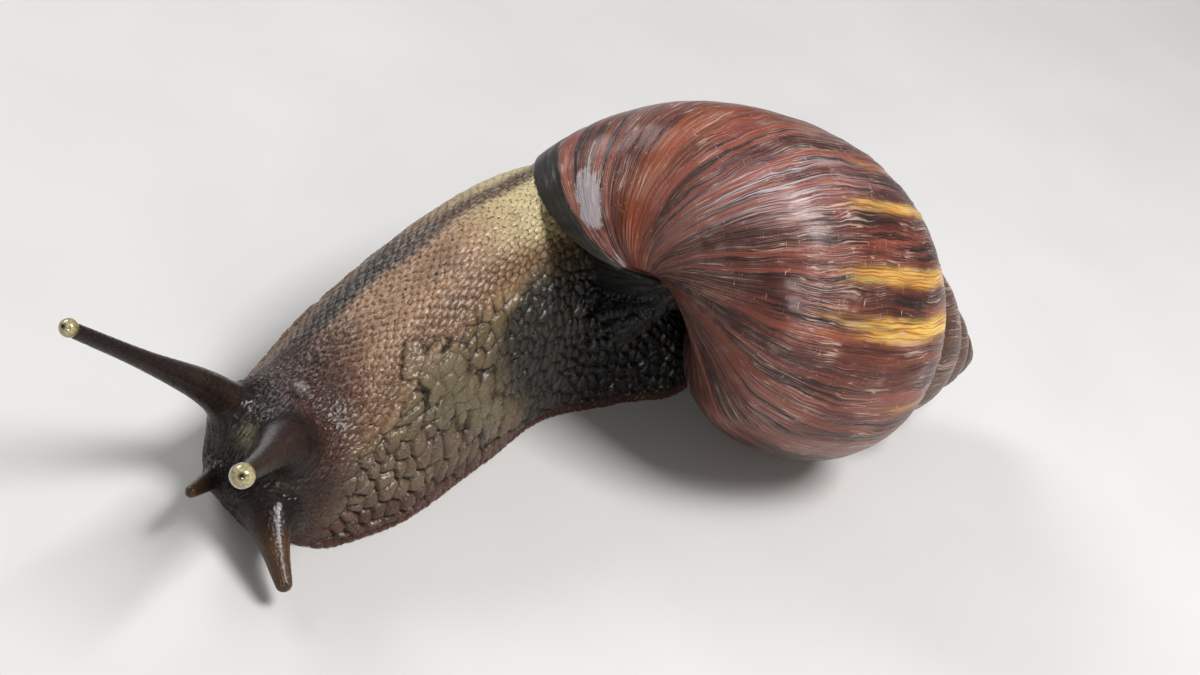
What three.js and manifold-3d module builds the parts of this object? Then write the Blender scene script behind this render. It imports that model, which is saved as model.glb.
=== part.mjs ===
// Giant African land snail (Lissachatina fulica), a still life-size model.
// Millimetres, +Z up. Head toward -X, tail toward +X, the snail's left side toward -Y.
// The sole of the foot lies flat on z = 0; the origin is the bottom centre of the box.
import * as THREE from "three";
import Module from "manifold-3d";

const wasm = await Module();
wasm.setup();
const { Manifold, Mesh: SolidMesh } = wasm;

// ---------------------------------------------------------------- sizes
const GAP = 0.35; // clearance between neighbouring pieces
const ORIGIN_SHIFT = [9.066, 3.984, 0]; // puts the origin at the bottom centre of the box

// Shell: a helico-spiral, each whorl the same outline grown by WHORL_GROWTH per turn.
// The outline runs suture, shoulder, bulge, base and columella, in units of UNIT from the apex.
const UNIT = 96.1;
const WHORL_GROWTH = 1.7003;
const WHORL_TURNS = 6.2;
const SUTURE = { r: 0.1746, h: 0.5674 }; // sits under the older whorl
const BULGE = { r: 0.3459, h: 0.7348 };
const TIP = { r: 0.0372, h: 0.8024 }; // where the base meets the columella
const SHOULDER = { angle: 1.2518, reach: -0.2315 }; // the whorl leaves the suture at this angle, inward first
const ROUNDING = { above: 0.3606, below: 0.5527, base: 0.2721 };
const COLUMELLA = 0.012; // least distance of the outline from the axis
const BASE_LIFT = { share: 1.2641, from: 0.3, fade: 0.62 }; // the last whorl's base is drawn out to the columella's foot
const LIP = { shift: 0.0384, slant: 0.5472, bow: -0.5639, twist: -1.198 }; // how the lip leaves the meridian, radians
const LIP_END = -0.006; // turns of growth past the reference meridian
const WALL = 2.0; // shell wall at the mouth
const MOUTH_DEPTH = 0.15; // turns of open mouth behind the lip
const APEX = [69.974, -35.132, 9.938];
const AXIS_HEADING = 159.565, AXIS_RISE = 16.522, SPIN = -177.793; // degrees, apex to mouth

// Body: stations from head to tail
const STATION = [-72, -60, -44, -28, -12, 4, 16, 28, 52, 77];
const MIDLINE = [10.4, 10.9, 12.8, 15.2, 16.8, 16.3, 14.2, 14.7, 19.0, 23.0];
const HALF_WIDTH = [8.9, 13.1, 16.1, 16.1, 15.2, 18.3, 19.8, 18.0, 11.5, 1.2];
const HEIGHT = [9.0, 18.3, 28.3, 35.8, 38.3, 34.5, 24.0, 14.5, 8.8, 2.2];
const NOSE_X = -67, TAIL_X = 76.5;
const FOOT_TOP = 4.6; // height of the muscular foot below the neck and trunk
const HEAD_END = -56, NECK_END = -20, TRUNK_END = 25; // where the body is parted
const SKULL = { c: [-61.6, 10.3, 9.0], r: [9.3, 10.0, 8.6] };
const SNOUT = { c: [-65.7, 9.9, 5.2], r: [6.2, 8.2, 4.6] };

// Feelers: [x, y, z, radius] along each
const FEELERS = {
  upper_tentacle_right: [[-64.5, 16.2, 11.0, 3.7], [-71.5, 17.9, 18.6, 2.5], [-82, 20.4, 26.2, 1.35], [-92.3, 22.85, 33.4, 1.0]],
  upper_tentacle_left: [[-63.5, 7.0, 12.5, 3.9], [-70.6, 3.8, 19.7, 2.5], [-80, -2.2, 27.0, 1.5], [-89.2, -7.5, 33.4, 1.15]],
  lower_tentacle_right: [[-71.0, 12.2, 6.7, 1.9], [-75, 10.8, 8.3, 1.3], [-79.3, 9.2, 10.1, 0.85]],
  lower_tentacle_left: [[-68.6, 4.8, 9.4, 2.3], [-72.3, -1.4, 7.2, 1.25], [-74.7, -7.0, 4.4, 0.9]],
};
const EYES = {
  eye_right: { c: [-93.35, 23.1, 34.2], r: 1.28 },
  eye_left: { c: [-90.5, -8.25, 34.35], r: 1.65 },
};

// Colours
const SHELL_BROWN = 0x5c2d23, SKIN_DARK = 0x2e241d, SKIN_OLIVE = 0x6d5f42, SKIN_PALE = 0x8f7c55,
  FOOT_BROWN = 0x5a4836, EYE_CREAM = 0xc9b878, MANTLE_GREY = 0x3b352c;

// ---------------------------------------------------------------- small helpers
const clamp = (x, a, b) => Math.min(Math.max(x, a), b);
const smooth = (t) => { t = clamp(t, 0, 1); return t * t * (3 - 2 * t); };
const spow = (x, n) => Math.sign(x) * Math.abs(x) ** n;

// smooth curve through the station values, without overshoot
function through(values) {
  const n = values.length, d = [], m = new Array(n).fill(0);
  for (let i = 0; i < n - 1; i++) d.push((values[i + 1] - values[i]) / (STATION[i + 1] - STATION[i]));
  for (let i = 1; i < n - 1; i++) m[i] = d[i] * d[i - 1] > 0 ? (2 * d[i] * d[i - 1]) / (d[i] + d[i - 1]) : 0;
  m[0] = d[0]; m[n - 1] = d[n - 2];
  return (x) => {
    x = clamp(x, STATION[0], STATION[n - 1]);
    let i = 0;
    while (i < n - 2 && x > STATION[i + 1]) i++;
    const h = STATION[i + 1] - STATION[i], t = (x - STATION[i]) / h, s = 1 - t;
    return values[i] * (1 + 2 * t) * s * s + m[i] * h * t * s * s +
      values[i + 1] * t * t * (3 - 2 * t) + m[i + 1] * h * t * t * (t - 1);
  };
}
const midline = through(MIDLINE), halfWidth = through(HALF_WIDTH), height = through(HEIGHT);

// A closed solid from rings of points: rings[i][j] is a Vector3; both ends are capped with fans.
function loft(rings) {
  const k = rings[0].length, pos = [], tri = [];
  for (const ring of rings) for (const p of ring) pos.push(p.x, p.y, p.z);
  for (let i = 0; i + 1 < rings.length; i++)
    for (let j = 0; j < k; j++) {
      const a = i * k + j, b = i * k + ((j + 1) % k);
      tri.push(a, b, a + k, b, b + k, a + k);
    }
  const cap = (i, flip) => {
    const c = new THREE.Vector3();
    for (const p of rings[i]) c.add(p);
    c.multiplyScalar(1 / k);
    const id = pos.length / 3;
    pos.push(c.x, c.y, c.z);
    for (let j = 0; j < k; j++) {
      const a = i * k + j, b = i * k + ((j + 1) % k);
      flip ? tri.push(id, b, a) : tri.push(id, a, b);
    }
  };
  cap(0, true);
  cap(rings.length - 1, false);
  return solid(pos, tri);
}
function solid(pos, tri) {
  let m = new Manifold(new SolidMesh({ numProp: 3, vertProperties: new Float32Array(pos), triVerts: new Uint32Array(tri) }));
  if (m.volume() < 0) {
    for (let i = 0; i < tri.length; i += 3) [tri[i + 1], tri[i + 2]] = [tri[i + 2], tri[i + 1]];
    m = new Manifold(new SolidMesh({ numProp: 3, vertProperties: new Float32Array(pos), triVerts: new Uint32Array(tri) }));
  }
  return m;
}
// A mesh as a solid (its vertices merged by place)
function fromGeometry(geometry) {
  const g = geometry.index ? geometry.toNonIndexed() : geometry, p = g.getAttribute("position");
  const ids = new Map(), pos = [], tri = [];
  for (let i = 0; i < p.count; i++) {
    const key = [p.getX(i), p.getY(i), p.getZ(i)].map((v) => Math.round(v * 1e4)).join();
    if (!ids.has(key)) { ids.set(key, pos.length / 3); pos.push(p.getX(i), p.getY(i), p.getZ(i)); }
    tri.push(ids.get(key));
  }
  const kept = [];
  for (let i = 0; i < tri.length; i += 3)
    if (tri[i] !== tri[i + 1] && tri[i + 1] !== tri[i + 2] && tri[i] !== tri[i + 2]) kept.push(tri[i], tri[i + 1], tri[i + 2]);
  return solid(pos, kept);
}
const box = (x0, x1, y0, y1, z0, z1) => Manifold.cube([x1 - x0, y1 - y0, z1 - z0]).translate([x0, y0, z0]);
const unite = (list) => list.reduce((a, b) => a.add(b));
function ellipsoid({ c, r }, grow = 0, u = 18, v = 10) {
  const g = new THREE.SphereGeometry(1, u, v);
  g.scale(r[0] + grow, r[1] + grow, r[2] + grow);
  g.translate(...c);
  return fromGeometry(g);
}
// Only the largest closed skin: crumbs left by a cut and sealed pockets inside are dropped.
// Vertices are first set on a fine lattice; the first lattice that leaves every edge
// between exactly two faces is used.
const LATTICES = [0.002, 0.003, 0.004, 0.006, 0.009, 0.013, 0.018, 0.025];
function largest(m) {
  for (const lattice of LATTICES) {
    const body = onLattice(m, lattice);
    if (body && edgesMeetInPairs(body)) return body;
  }
  throw new Error("no lattice leaves a clean closed skin");
}
function onLattice(m, lattice) {
  const out = m.getMesh(), ids = new Map(), pos = [], faces = new Map();
  const id = (i) => {
    const p = [0, 1, 2].map((k) => Math.round(out.vertProperties[i * out.numProp + k] / lattice)), key = p.join();
    if (!ids.has(key)) { ids.set(key, pos.length / 3); pos.push(...p.map((v) => v * lattice)); }
    return ids.get(key);
  };
  for (let i = 0; i < out.triVerts.length; i += 3) {
    const t = [0, 1, 2].map((k) => id(out.triVerts[i + k]));
    if (t[0] === t[1] || t[1] === t[2] || t[0] === t[2]) continue;
    const low = t.indexOf(Math.min(...t)), r = [t[low], t[(low + 1) % 3], t[(low + 2) % 3]];
    const back = [r[0], r[2], r[1]].join();
    if (faces.has(back)) faces.delete(back); else faces.set(r.join(), r); // a face and its reverse cancel
  }
  try {
    const bodies = new Manifold(new SolidMesh({ numProp: 3, vertProperties: new Float32Array(pos), triVerts: new Uint32Array([...faces.values()].flat()) })).decompose();
    return bodies.reduce((a, b) => (b.volume() > a.volume() ? b : a));
  } catch { return null; }
}
function edgesMeetInPairs(m) {
  const out = m.getMesh(), place = new Map(), edges = new Map();
  const id = (i) => {
    const key = [0, 1, 2].map((k) => out.vertProperties[i * out.numProp + k].toFixed(3)).join();
    if (!place.has(key)) place.set(key, place.size);
    return place.get(key);
  };
  for (let i = 0; i < out.triVerts.length; i += 3) {
    const t = [0, 1, 2].map((k) => id(out.triVerts[i + k]));
    for (let k = 0; k < 3; k++) {
      const e = [t[k], t[(k + 1) % 3]].sort((a, b) => a - b).join();
      edges.set(e, (edges.get(e) || 0) + 1);
    }
  }
  return [...edges.values()].every((n) => n === 2);
}

// ---------------------------------------------------------------- shell
const rad = THREE.MathUtils.degToRad;
const heading = rad(AXIS_HEADING), rise = rad(AXIS_RISE), spin = rad(SPIN);
const axis = new THREE.Vector3(Math.cos(heading) * Math.cos(rise), Math.sin(heading) * Math.cos(rise), Math.sin(rise));
const side = new THREE.Vector3(-Math.sin(heading), Math.cos(heading), 0);
const over = new THREE.Vector3().crossVectors(axis, side);
const lipSide = side.clone().multiplyScalar(Math.cos(spin)).addScaledVector(over, Math.sin(spin));
const third = new THREE.Vector3().crossVectors(axis, lipSide);
const shellFrame = new THREE.Matrix4().makeBasis(lipSide, third, axis).setPosition(...APEX);

// cubic curve through two ends with two handles
const cubic = (p, q, r, e, t) => {
  const s = 1 - t;
  return [0, 1].map((k) => s * s * s * p[k] + 3 * s * s * t * q[k] + 3 * s * t * t * r[k] + t * t * t * e[k]);
};
// outline of a whorl in its meridian plane, units of UNIT: u from 0 at the suture, round to 1; [r, h, phase]
function plainOutline(u) {
  const S = [SUTURE.r, SUTURE.h], B = [BULGE.r, BULGE.h], T = [TIP.r, TIP.h], I = [0.03, 0.6];
  let p, phase;
  if (u < 0.24) {
    const t = u / 0.24;
    p = cubic(S, [S[0] + SHOULDER.reach * Math.sin(SHOULDER.angle), S[1] + SHOULDER.reach * Math.cos(SHOULDER.angle)], [B[0], B[1] - ROUNDING.above], B, t);
    phase = t - 1;
  } else if (u < 0.74) {
    const t = (u - 0.24) / 0.5;
    p = cubic(B, [B[0], B[1] + ROUNDING.below], [T[0] - ROUNDING.base * Math.cos(0.75), T[1] + ROUNDING.base * Math.sin(0.75)], T, t);
    phase = t;
  } else if (u < 0.9) {
    const t = (u - 0.74) / 0.16;
    p = cubic(T, [T[0] - 0.012, T[1] - 0.02], [I[0], I[1] + 0.1], I, t);
    phase = 1 - 0.7 * t;
  } else {
    const t = (u - 0.9) / 0.1;
    p = [0, 1].map((k) => I[k] + (S[k] - I[k]) * t);
    phase = 0.3 - 1.3 * t;
  }
  return [Math.max(p[0], COLUMELLA), p[1], phase];
}
function outline(u, grow) {
  const g = grow / UNIT, [r, h, phase] = plainOutline(u);
  const [r0, h0] = plainOutline((u + 0.985) % 1), [r1, h1] = plainOutline((u + 0.015) % 1);
  const len = Math.hypot(r1 - r0, h1 - h0) || 1; // outward is to the right of the run
  return [Math.max(r + (g * (h1 - h0)) / len, COLUMELLA - g, 0.004), h - (g * (r1 - r0)) / len, phase];
}
// how far the base is drawn out toward the columella's foot, units of UNIT
function baseLift(tau, u) {
  const t = u < 0.74 ? clamp(((u - 0.24) / 0.5 - BASE_LIFT.from) / (1 - BASE_LIFT.from), 0, 1) : clamp(1 - (u - 0.74) / 0.16, 0, 1);
  return BASE_LIFT.share * TIP.h * (1 - WHORL_GROWTH ** -tau) * (1 - smooth((tau - BASE_LIFT.fade) / (1 - BASE_LIFT.fade))) * smooth(t);
}
// a point of the shell surface, tau turns back from the lip
function shellPoint(tau, u, grow = 0) {
  const k = WHORL_GROWTH ** -tau, [r, h, phase] = outline(u, grow / k);
  const psi = 2 * Math.PI * tau + LIP.shift + LIP.slant * phase + LIP.bow * phase ** 2 + LIP.twist * phase ** 3;
  return new THREE.Vector3(r * k * Math.cos(psi), -r * k * Math.sin(psi), h * k + baseLift(tau, u)).multiplyScalar(UNIT).applyMatrix4(shellFrame);
}
function whorl(from, to, steps, points, grow = 0) {
  const rings = [];
  for (let i = 0; i <= steps; i++) {
    const tau = from + ((to - from) * i) / steps, ring = [];
    for (let j = 0; j < points; j++) ring.push(shellPoint(tau, j / points, grow));
    rings.push(ring);
  }
  return loft(rings);
}
// the coiled tube from tau0 back to the apex, in half-turn lengths
function coil(tau0, grow) {
  const parts = [];
  let t = tau0;
  for (let i = 0; t < WHORL_TURNS; i++) {
    const e = Math.min(i === 0 ? 0.44 : t + 0.5, WHORL_TURNS);
    const fine = t < 0.9 ? 1 : t < 1.9 ? 0.8 : 0.6;
    parts.push(whorl(t, e, Math.max(4, Math.round((e - t) * 28 * fine)), 24, grow));
    t = e;
  }
  return parts;
}
// the solid pillar about the axis that closes the gap inside the whorls
function pillar(grow) {
  const pts = [new THREE.Vector2(0, 1.2)], long = 0.79, full = 0.62;
  for (let i = 1; i <= 14; i++) {
    const h = (long * i) / 14, taper = 1 - 0.62 * smooth((h - full) / (long - full));
    pts.push(new THREE.Vector2((0.075 * h * taper + 0.004) * UNIT + grow, h * UNIT));
  }
  pts.push(new THREE.Vector2(0, long * UNIT + 1.6 + grow));
  const g = new THREE.LatheGeometry(pts, 14); // about Y
  g.rotateX(Math.PI / 2); // about Z
  g.applyMatrix4(shellFrame);
  return fromGeometry(g);
}
const nucleus = (grow) => {
  const c = new THREE.Vector3(0, 0, 2.7).applyMatrix4(shellFrame);
  return ellipsoid({ c: c.toArray(), r: [1.35, 1.35, 1.35] }, grow, 10, 6);
};
const mouthTube = (from, grow, to = MOUTH_DEPTH) => whorl(from, to, 7, 24, grow);

const coilParts = coil(LIP_END, 0);
const olderWhorls = unite([...coilParts.slice(1), pillar(0)]);
const mouth = mouthTube(-0.06, -WALL).subtract(olderWhorls);
const shell = largest(unite([coilParts[0], olderWhorls, nucleus(0)]).subtract(mouth));

const fatParts = coil(LIP_END - 0.0026, GAP);
const fatOlder = unite([...fatParts.slice(1), pillar(GAP)]);
const fatMouth = mouthTube(-0.06, -WALL - GAP, MOUTH_DEPTH - 0.003).subtract(fatOlder);
const shellRoom = unite([fatParts[0], fatOlder, nucleus(GAP)]).subtract(fatMouth);

// ---------------------------------------------------------------- flesh
const P = 2.2, Q = 2.0;
function bodySweep(grow = 0) {
  const rings = [], n = 46, top = 18, bottom = 4;
  for (let i = 0; i <= n; i++) {
    const s = i / n, x = NOSE_X - 0.5 + (TAIL_X - NOSE_X + 0.5) * (s < 0.5 ? s * (0.86 + 0.28 * s) : 0.5 + (s - 0.5) * 1.0);
    const fade = Math.sqrt(clamp((x - NOSE_X + 1.4) / 9, 0.04, 1)); // rounded front
    const w = halfWidth(x) * (0.45 + 0.55 * fade) + grow, t = height(x) * (0.35 + 0.65 * fade) + grow, m = midline(x);
    const ring = [];
    for (let j = 0; j <= top; j++) {
      const a = (Math.PI * j) / top;
      ring.push(new THREE.Vector3(x, m + w * spow(Math.cos(a), 2 / P), t * spow(Math.sin(a), 2 / Q)));
    }
    for (let j = 1; j < bottom; j++) ring.push(new THREE.Vector3(x, m - w + (2 * w * j) / bottom, grow > 0 ? -1 : 0));
    rings.push(ring);
  }
  return loft(rings);
}
const floorCut = box(-140, 140, -120, 120, -60, 0);
const headLobes = (grow) => ellipsoid(SKULL, grow).add(ellipsoid(SNOUT, grow, 14, 8));
const plainBody = bodySweep().add(headLobes(0)).subtract(floorCut);

// a feeler: a tapering tube along a smooth curve, with a rounded tip
function feeler(points, grow = 0, sides = 8) {
  const curve = new THREE.CatmullRomCurve3(points.map(([x, y, z]) => new THREE.Vector3(x, y, z)));
  const steps = 4 * (points.length - 1), rings = [];
  const frames = curve.computeFrenetFrames(steps, false);
  const put = (c, N, B, r) => {
    const ring = [];
    for (let j = 0; j < sides; j++) {
      const a = (2 * Math.PI * j) / sides;
      ring.push(c.clone().addScaledVector(N, r * Math.cos(a)).addScaledVector(B, r * Math.sin(a)));
    }
    rings.push(ring);
  };
  for (let i = 0; i <= steps; i++) {
    const u = i / steps, f = curve.getUtoTmapping(u) * (points.length - 1), k = Math.min(Math.floor(f), points.length - 2);
    const r = THREE.MathUtils.lerp(points[k][3], points[k + 1][3], smooth(f - k) * 0.4 + (f - k) * 0.6) + grow;
    put(curve.getPointAt(u), frames.normals[i], frames.binormals[i], r);
  }
  const end = curve.getPointAt(1), T = curve.getTangentAt(1), r = points.at(-1)[3] + grow;
  for (const a of [0.5, 1.0]) put(end.clone().addScaledVector(T, r * Math.sin(a)), frames.normals[steps], frames.binormals[steps], r * Math.cos(a));
  return loft(rings);
}

const eyeSolids = {}, feelerSolids = {};
for (const [name, e] of Object.entries(EYES)) eyeSolids[name] = ellipsoid({ c: e.c, r: [e.r, e.r, e.r] }, 0, 12, 8);
const eyeRoom = unite(Object.values(EYES).map((e) => ellipsoid({ c: e.c, r: [e.r, e.r, e.r] }, 0.3, 12, 8)));
for (const [name, pts] of Object.entries(FEELERS)) feelerSolids[name] = feeler(pts);
const feelerRoom = unite(Object.values(FEELERS).map((pts) => feeler(pts, GAP)));

// the head keeps a socket the depth of the feeler's root, so each feeler is a piece of its own
const body = plainBody.subtract(shellRoom).subtract(feelerRoom);
const slab = (x0, x1, z0 = -1, z1 = 80) => box(x0, x1, -60, 80, z0, z1);
const h = GAP / 2;
const head = largest(body.intersect(slab(-100, HEAD_END - h)));
const neck = largest(body.intersect(slab(HEAD_END + h, NECK_END - h, FOOT_TOP + h)));
const trunk = largest(body.intersect(slab(NECK_END + h, TRUNK_END - h, FOOT_TOP + h)));
const foot = largest(body.intersect(slab(HEAD_END + h, TRUNK_END - h, -1, FOOT_TOP - h)));
const tail = largest(body.intersect(slab(TRUNK_END + h, 100)));
// the mantle fills the mouth of the shell and rolls out a little over the neck
const mantle = largest(
  mouthTube(-0.028, -WALL - 0.9, MOUTH_DEPTH - 0.006).subtract(shellRoom).subtract(shell).subtract(bodySweep(GAP)).subtract(box(-140, 140, -120, 120, -60, FOOT_TOP + 2)),
);

// ---------------------------------------------------------------- scene graph
const snail = new THREE.Group();
snail.name = "giant_african_land_snail";
function addPiece(name, m, color, roughness) {
  const out = m.getMesh(), g = new THREE.BufferGeometry();
  const v = new Float32Array(out.numVert * 3);
  for (let i = 0; i < out.numVert; i++) for (let k = 0; k < 3; k++) v[3 * i + k] = out.vertProperties[i * out.numProp + k];
  g.setAttribute("position", new THREE.BufferAttribute(v, 3));
  g.setIndex(new THREE.BufferAttribute(new Uint32Array(out.triVerts), 1));
  g.computeVertexNormals();
  const mesh = new THREE.Mesh(g, new THREE.MeshStandardMaterial({ color, roughness, metalness: 0, flatShading: true }));
  mesh.name = name;
  mesh.position.set(...ORIGIN_SHIFT);
  snail.add(mesh);
}
addPiece("shell", shell, SHELL_BROWN, 0.35);
addPiece("mantle_collar", mantle, MANTLE_GREY, 0.3);
addPiece("head", head, SKIN_DARK, 0.35);
addPiece("neck", neck, SKIN_PALE, 0.35);
addPiece("trunk", trunk, SKIN_OLIVE, 0.35);
addPiece("foot", foot, FOOT_BROWN, 0.35);
addPiece("tail", tail, SKIN_OLIVE, 0.35);
for (const [name, m] of Object.entries(feelerSolids)) addPiece(name, largest(name.startsWith("upper") ? m.subtract(eyeRoom) : m), SKIN_DARK, 0.3);
for (const [name, m] of Object.entries(eyeSolids)) addPiece(name, m, EYE_CREAM, 0.15);

export default snail;
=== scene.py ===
import math
import bpy
import numpy as np
from mathutils import Matrix, Vector


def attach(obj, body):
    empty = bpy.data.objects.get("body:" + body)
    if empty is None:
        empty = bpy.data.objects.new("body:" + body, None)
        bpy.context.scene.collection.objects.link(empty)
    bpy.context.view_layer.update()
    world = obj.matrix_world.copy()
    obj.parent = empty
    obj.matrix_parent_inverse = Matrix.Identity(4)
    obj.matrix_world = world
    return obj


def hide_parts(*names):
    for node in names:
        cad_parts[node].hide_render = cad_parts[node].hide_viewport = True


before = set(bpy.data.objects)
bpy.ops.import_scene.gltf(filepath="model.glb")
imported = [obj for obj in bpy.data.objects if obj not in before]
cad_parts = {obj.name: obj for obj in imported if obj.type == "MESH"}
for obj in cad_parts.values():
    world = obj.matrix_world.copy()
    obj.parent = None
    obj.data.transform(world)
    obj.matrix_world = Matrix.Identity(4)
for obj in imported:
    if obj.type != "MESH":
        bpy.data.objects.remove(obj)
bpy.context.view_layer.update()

# ------------------------------------------------------------------ sizes (mm, as in the part's source)
SHIFT = np.array([9.066, 3.984, 0.0])
UNIT, GROWTH, TURNS = 96.1, 1.7003, 6.2
SUTURE, BULGE, TIP = (0.1746, 0.5674), (0.3459, 0.7348), (0.0372, 0.8024)
SHOULDER_ANGLE, SHOULDER_REACH = 1.2518, -0.2315
ROUND_ABOVE, ROUND_BELOW, ROUND_BASE = 0.3606, 0.5527, 0.2721
COLUMELLA = 0.012
LIFT_SHARE, LIFT_FROM, LIFT_FADE = 1.2641, 0.3, 0.62
LIP_SHIFT, LIP_SLANT, LIP_BOW, LIP_TWIST, LIP_END = 0.0384, 0.5472, -0.5639, -1.198, -0.006
APEX = np.array([69.974, -35.132, 9.938])
HEADING, RISE, SPIN = np.radians([159.565, 16.522, -177.793])
STATION = [-72, -60, -44, -28, -12, 4, 16, 28, 52, 77]
MIDLINE = [10.4, 10.9, 12.8, 15.2, 16.8, 16.3, 14.2, 14.7, 19.0, 23.0]
HALF_WIDTH = [8.9, 13.1, 16.1, 16.1, 15.2, 18.3, 19.8, 18.0, 11.5, 1.2]
HEIGHT = [9.0, 18.3, 28.3, 35.8, 38.3, 34.5, 24.0, 14.5, 8.8, 2.2]
FEELERS = dict(
    ur=[(-64.5, 16.2, 11, 3.7), (-71.5, 17.9, 18.6, 2.5), (-82, 20.4, 26.2, 1.35), (-92.3, 22.85, 33.4, 1.0)],
    ul=[(-63.5, 7.0, 12.5, 4.4), (-70.6, 3.8, 19.7, 3.2), (-80, -2.2, 27.0, 1.9), (-89.2, -7.5, 33.4, 1.2)],
    lr=[(-68.5, 12.8, 6.4, 2.3), (-71.0, 12.2, 6.7, 1.9), (-75, 10.8, 8.3, 1.3), (-79.3, 9.2, 10.1, 0.85)],
    ll=[(-66.4, 7.0, 7.4, 5.2), (-69.2, 3.8, 7.2, 4.2), (-72.3, -1.4, 6.2, 2.2), (-74.7, -7.0, 4.4, 1.15)])
EYE_R, EYE_L = (np.array([-93.35, 23.1, 34.2]), 1.28), (np.array([-90.5, -8.25, 34.35]), 1.65)

clamp = lambda x, a, b: np.minimum(np.maximum(x, a), b)
def smooth(t):
    t = clamp(t, 0.0, 1.0)
    return t * t * (3 - 2 * t)
def ramp(x, a, b):
    return smooth((x - a) / (b - a))
def smin(a, b, k):
    h = clamp(0.5 + 0.5 * (b - a) / k, 0.0, 1.0)
    return b * (1 - h) + a * h - k * h * (1 - h)
def smax(a, b, k):
    return -smin(-a, -b, k)

# ------------------------------------------------------------------ shell frame and outline
axis = np.array([np.cos(HEADING) * np.cos(RISE), np.sin(HEADING) * np.cos(RISE), np.sin(RISE)])
_side = np.array([-np.sin(HEADING), np.cos(HEADING), 0.0])
_over = np.cross(axis, _side)
lip_side = _side * np.cos(SPIN) + _over * np.sin(SPIN)
third = np.cross(axis, lip_side)
BASIS = np.stack([lip_side, third, axis], 1)           # columns

def cubic(p, q, r, e, t):
    s = 1 - t
    return [s ** 3 * p[k] + 3 * s * s * t * q[k] + 3 * s * t * t * r[k] + t ** 3 * e[k] for k in (0, 1)]
def plain_outline(u):
    u = np.asarray(u, float)
    S, B, T, I = SUTURE, BULGE, TIP, (0.03, 0.6)
    r, h, ph = np.zeros_like(u), np.zeros_like(u), np.zeros_like(u)
    def put(m, p, phase):
        r[m], h[m], ph[m] = p[0], p[1], phase
    m = u < 0.24
    t = u[m] / 0.24
    put(m, cubic(S, (S[0] + SHOULDER_REACH * np.sin(SHOULDER_ANGLE), S[1] + SHOULDER_REACH * np.cos(SHOULDER_ANGLE)), (B[0], B[1] - ROUND_ABOVE), B, t), t - 1)
    m = (u >= 0.24) & (u < 0.74)
    t = (u[m] - 0.24) / 0.5
    put(m, cubic(B, (B[0], B[1] + ROUND_BELOW), (T[0] - ROUND_BASE * np.cos(0.75), T[1] + ROUND_BASE * np.sin(0.75)), T, t), t)
    m = (u >= 0.74) & (u < 0.9)
    t = (u[m] - 0.74) / 0.16
    put(m, cubic(T, (T[0] - 0.012, T[1] - 0.02), (I[0], I[1] + 0.1), I, t), 1 - 0.7 * t)
    m = u >= 0.9
    t = (u[m] - 0.9) / 0.1
    put(m, [I[k] + (S[k] - I[k]) * t for k in (0, 1)], 0.3 - 1.3 * t)
    return np.maximum(r, COLUMELLA), h, ph
def outline(u, grow):
    g = np.asarray(grow, float) / UNIT
    r, h, ph = plain_outline(u)
    r0, h0, _ = plain_outline((u + 0.985) % 1)
    r1, h1, _ = plain_outline((u + 0.015) % 1)
    ln = np.hypot(r1 - r0, h1 - h0) + 1e-12
    return np.maximum(np.maximum(r + g * (h1 - h0) / ln, COLUMELLA - g), 0.004), h - g * (r1 - r0) / ln, ph
def base_lift(tau, u):
    """how far the last whorl's base is drawn out to the foot of the columella, in units"""
    t = np.where(u < 0.74, ((u - 0.24) / 0.5 - LIFT_FROM) / (1 - LIFT_FROM), 1 - (u - 0.74) / 0.16)
    return LIFT_SHARE * TIP[1] * (1 - GROWTH ** -tau) * (1 - smooth((tau - LIFT_FADE) / (1 - LIFT_FADE))) * smooth(t)
def turn_of(ph):
    return LIP_SHIFT + LIP_SLANT * ph + LIP_BOW * ph ** 2 + LIP_TWIST * ph ** 3
def shell_point(tau, u, grow=0.0):
    """world mm; tau and u broadcast together"""
    tau, u = np.broadcast_arrays(np.asarray(tau, float), np.asarray(u, float))
    k = GROWTH ** -tau
    r, h, ph = outline(u.ravel(), (np.broadcast_to(grow, tau.shape) / k).ravel())
    r, h, ph = r.reshape(tau.shape), h.reshape(tau.shape), ph.reshape(tau.shape)
    psi = 2 * np.pi * tau + turn_of(ph)
    L = np.stack([r * k * np.cos(psi), -r * k * np.sin(psi), h * k + base_lift(tau, u)], -1) * UNIT
    return L @ BASIS.T + APEX

# ---- signed distance to the whorl outline in its meridian plane, as a lookup over (r, h)
_N = 360
_ul = np.linspace(0, 1, 900, endpoint=False)
_pr, _phh, _pph = plain_outline(_ul)
_gr = np.linspace(-0.15, 0.75, _N)
_gh = np.linspace(0.2, 1.25, _N)
def _build():
    G = np.stack(np.meshgrid(_gr, _gh, indexing="ij"), -1).reshape(-1, 2)
    A = np.stack([_pr, _phh], 1); Bn = np.roll(A, -1, 0); AB = Bn - A; L2 = (AB ** 2).sum(1) + 1e-15
    best = np.full(len(G), 1e9); ph = np.zeros(len(G)); uu = np.zeros(len(G)); inside = np.zeros(len(G), bool)
    for i in range(len(A)):
        t = clamp(((G - A[i]) @ AB[i]) / L2[i], 0, 1)
        d = ((G - A[i] - t[:, None] * AB[i]) ** 2).sum(1)
        m = d < best
        best[m] = d[m]; ph[m] = _pph[i]; uu[m] = _ul[i]
        y0, y1 = A[i, 1], Bn[i, 1]
        if y0 != y1:
            c = (G[:, 1] >= min(y0, y1)) & (G[:, 1] < max(y0, y1))
            xi = A[i, 0] + (G[:, 1] - y0) / (y1 - y0) * (Bn[i, 0] - A[i, 0])
            inside ^= c & (G[:, 0] < xi)
    d = np.sqrt(best); d[inside] *= -1
    return d.reshape(_N, _N), ph.reshape(_N, _N), uu.reshape(_N, _N)
SDF, PHM, UUM = _build()
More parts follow.
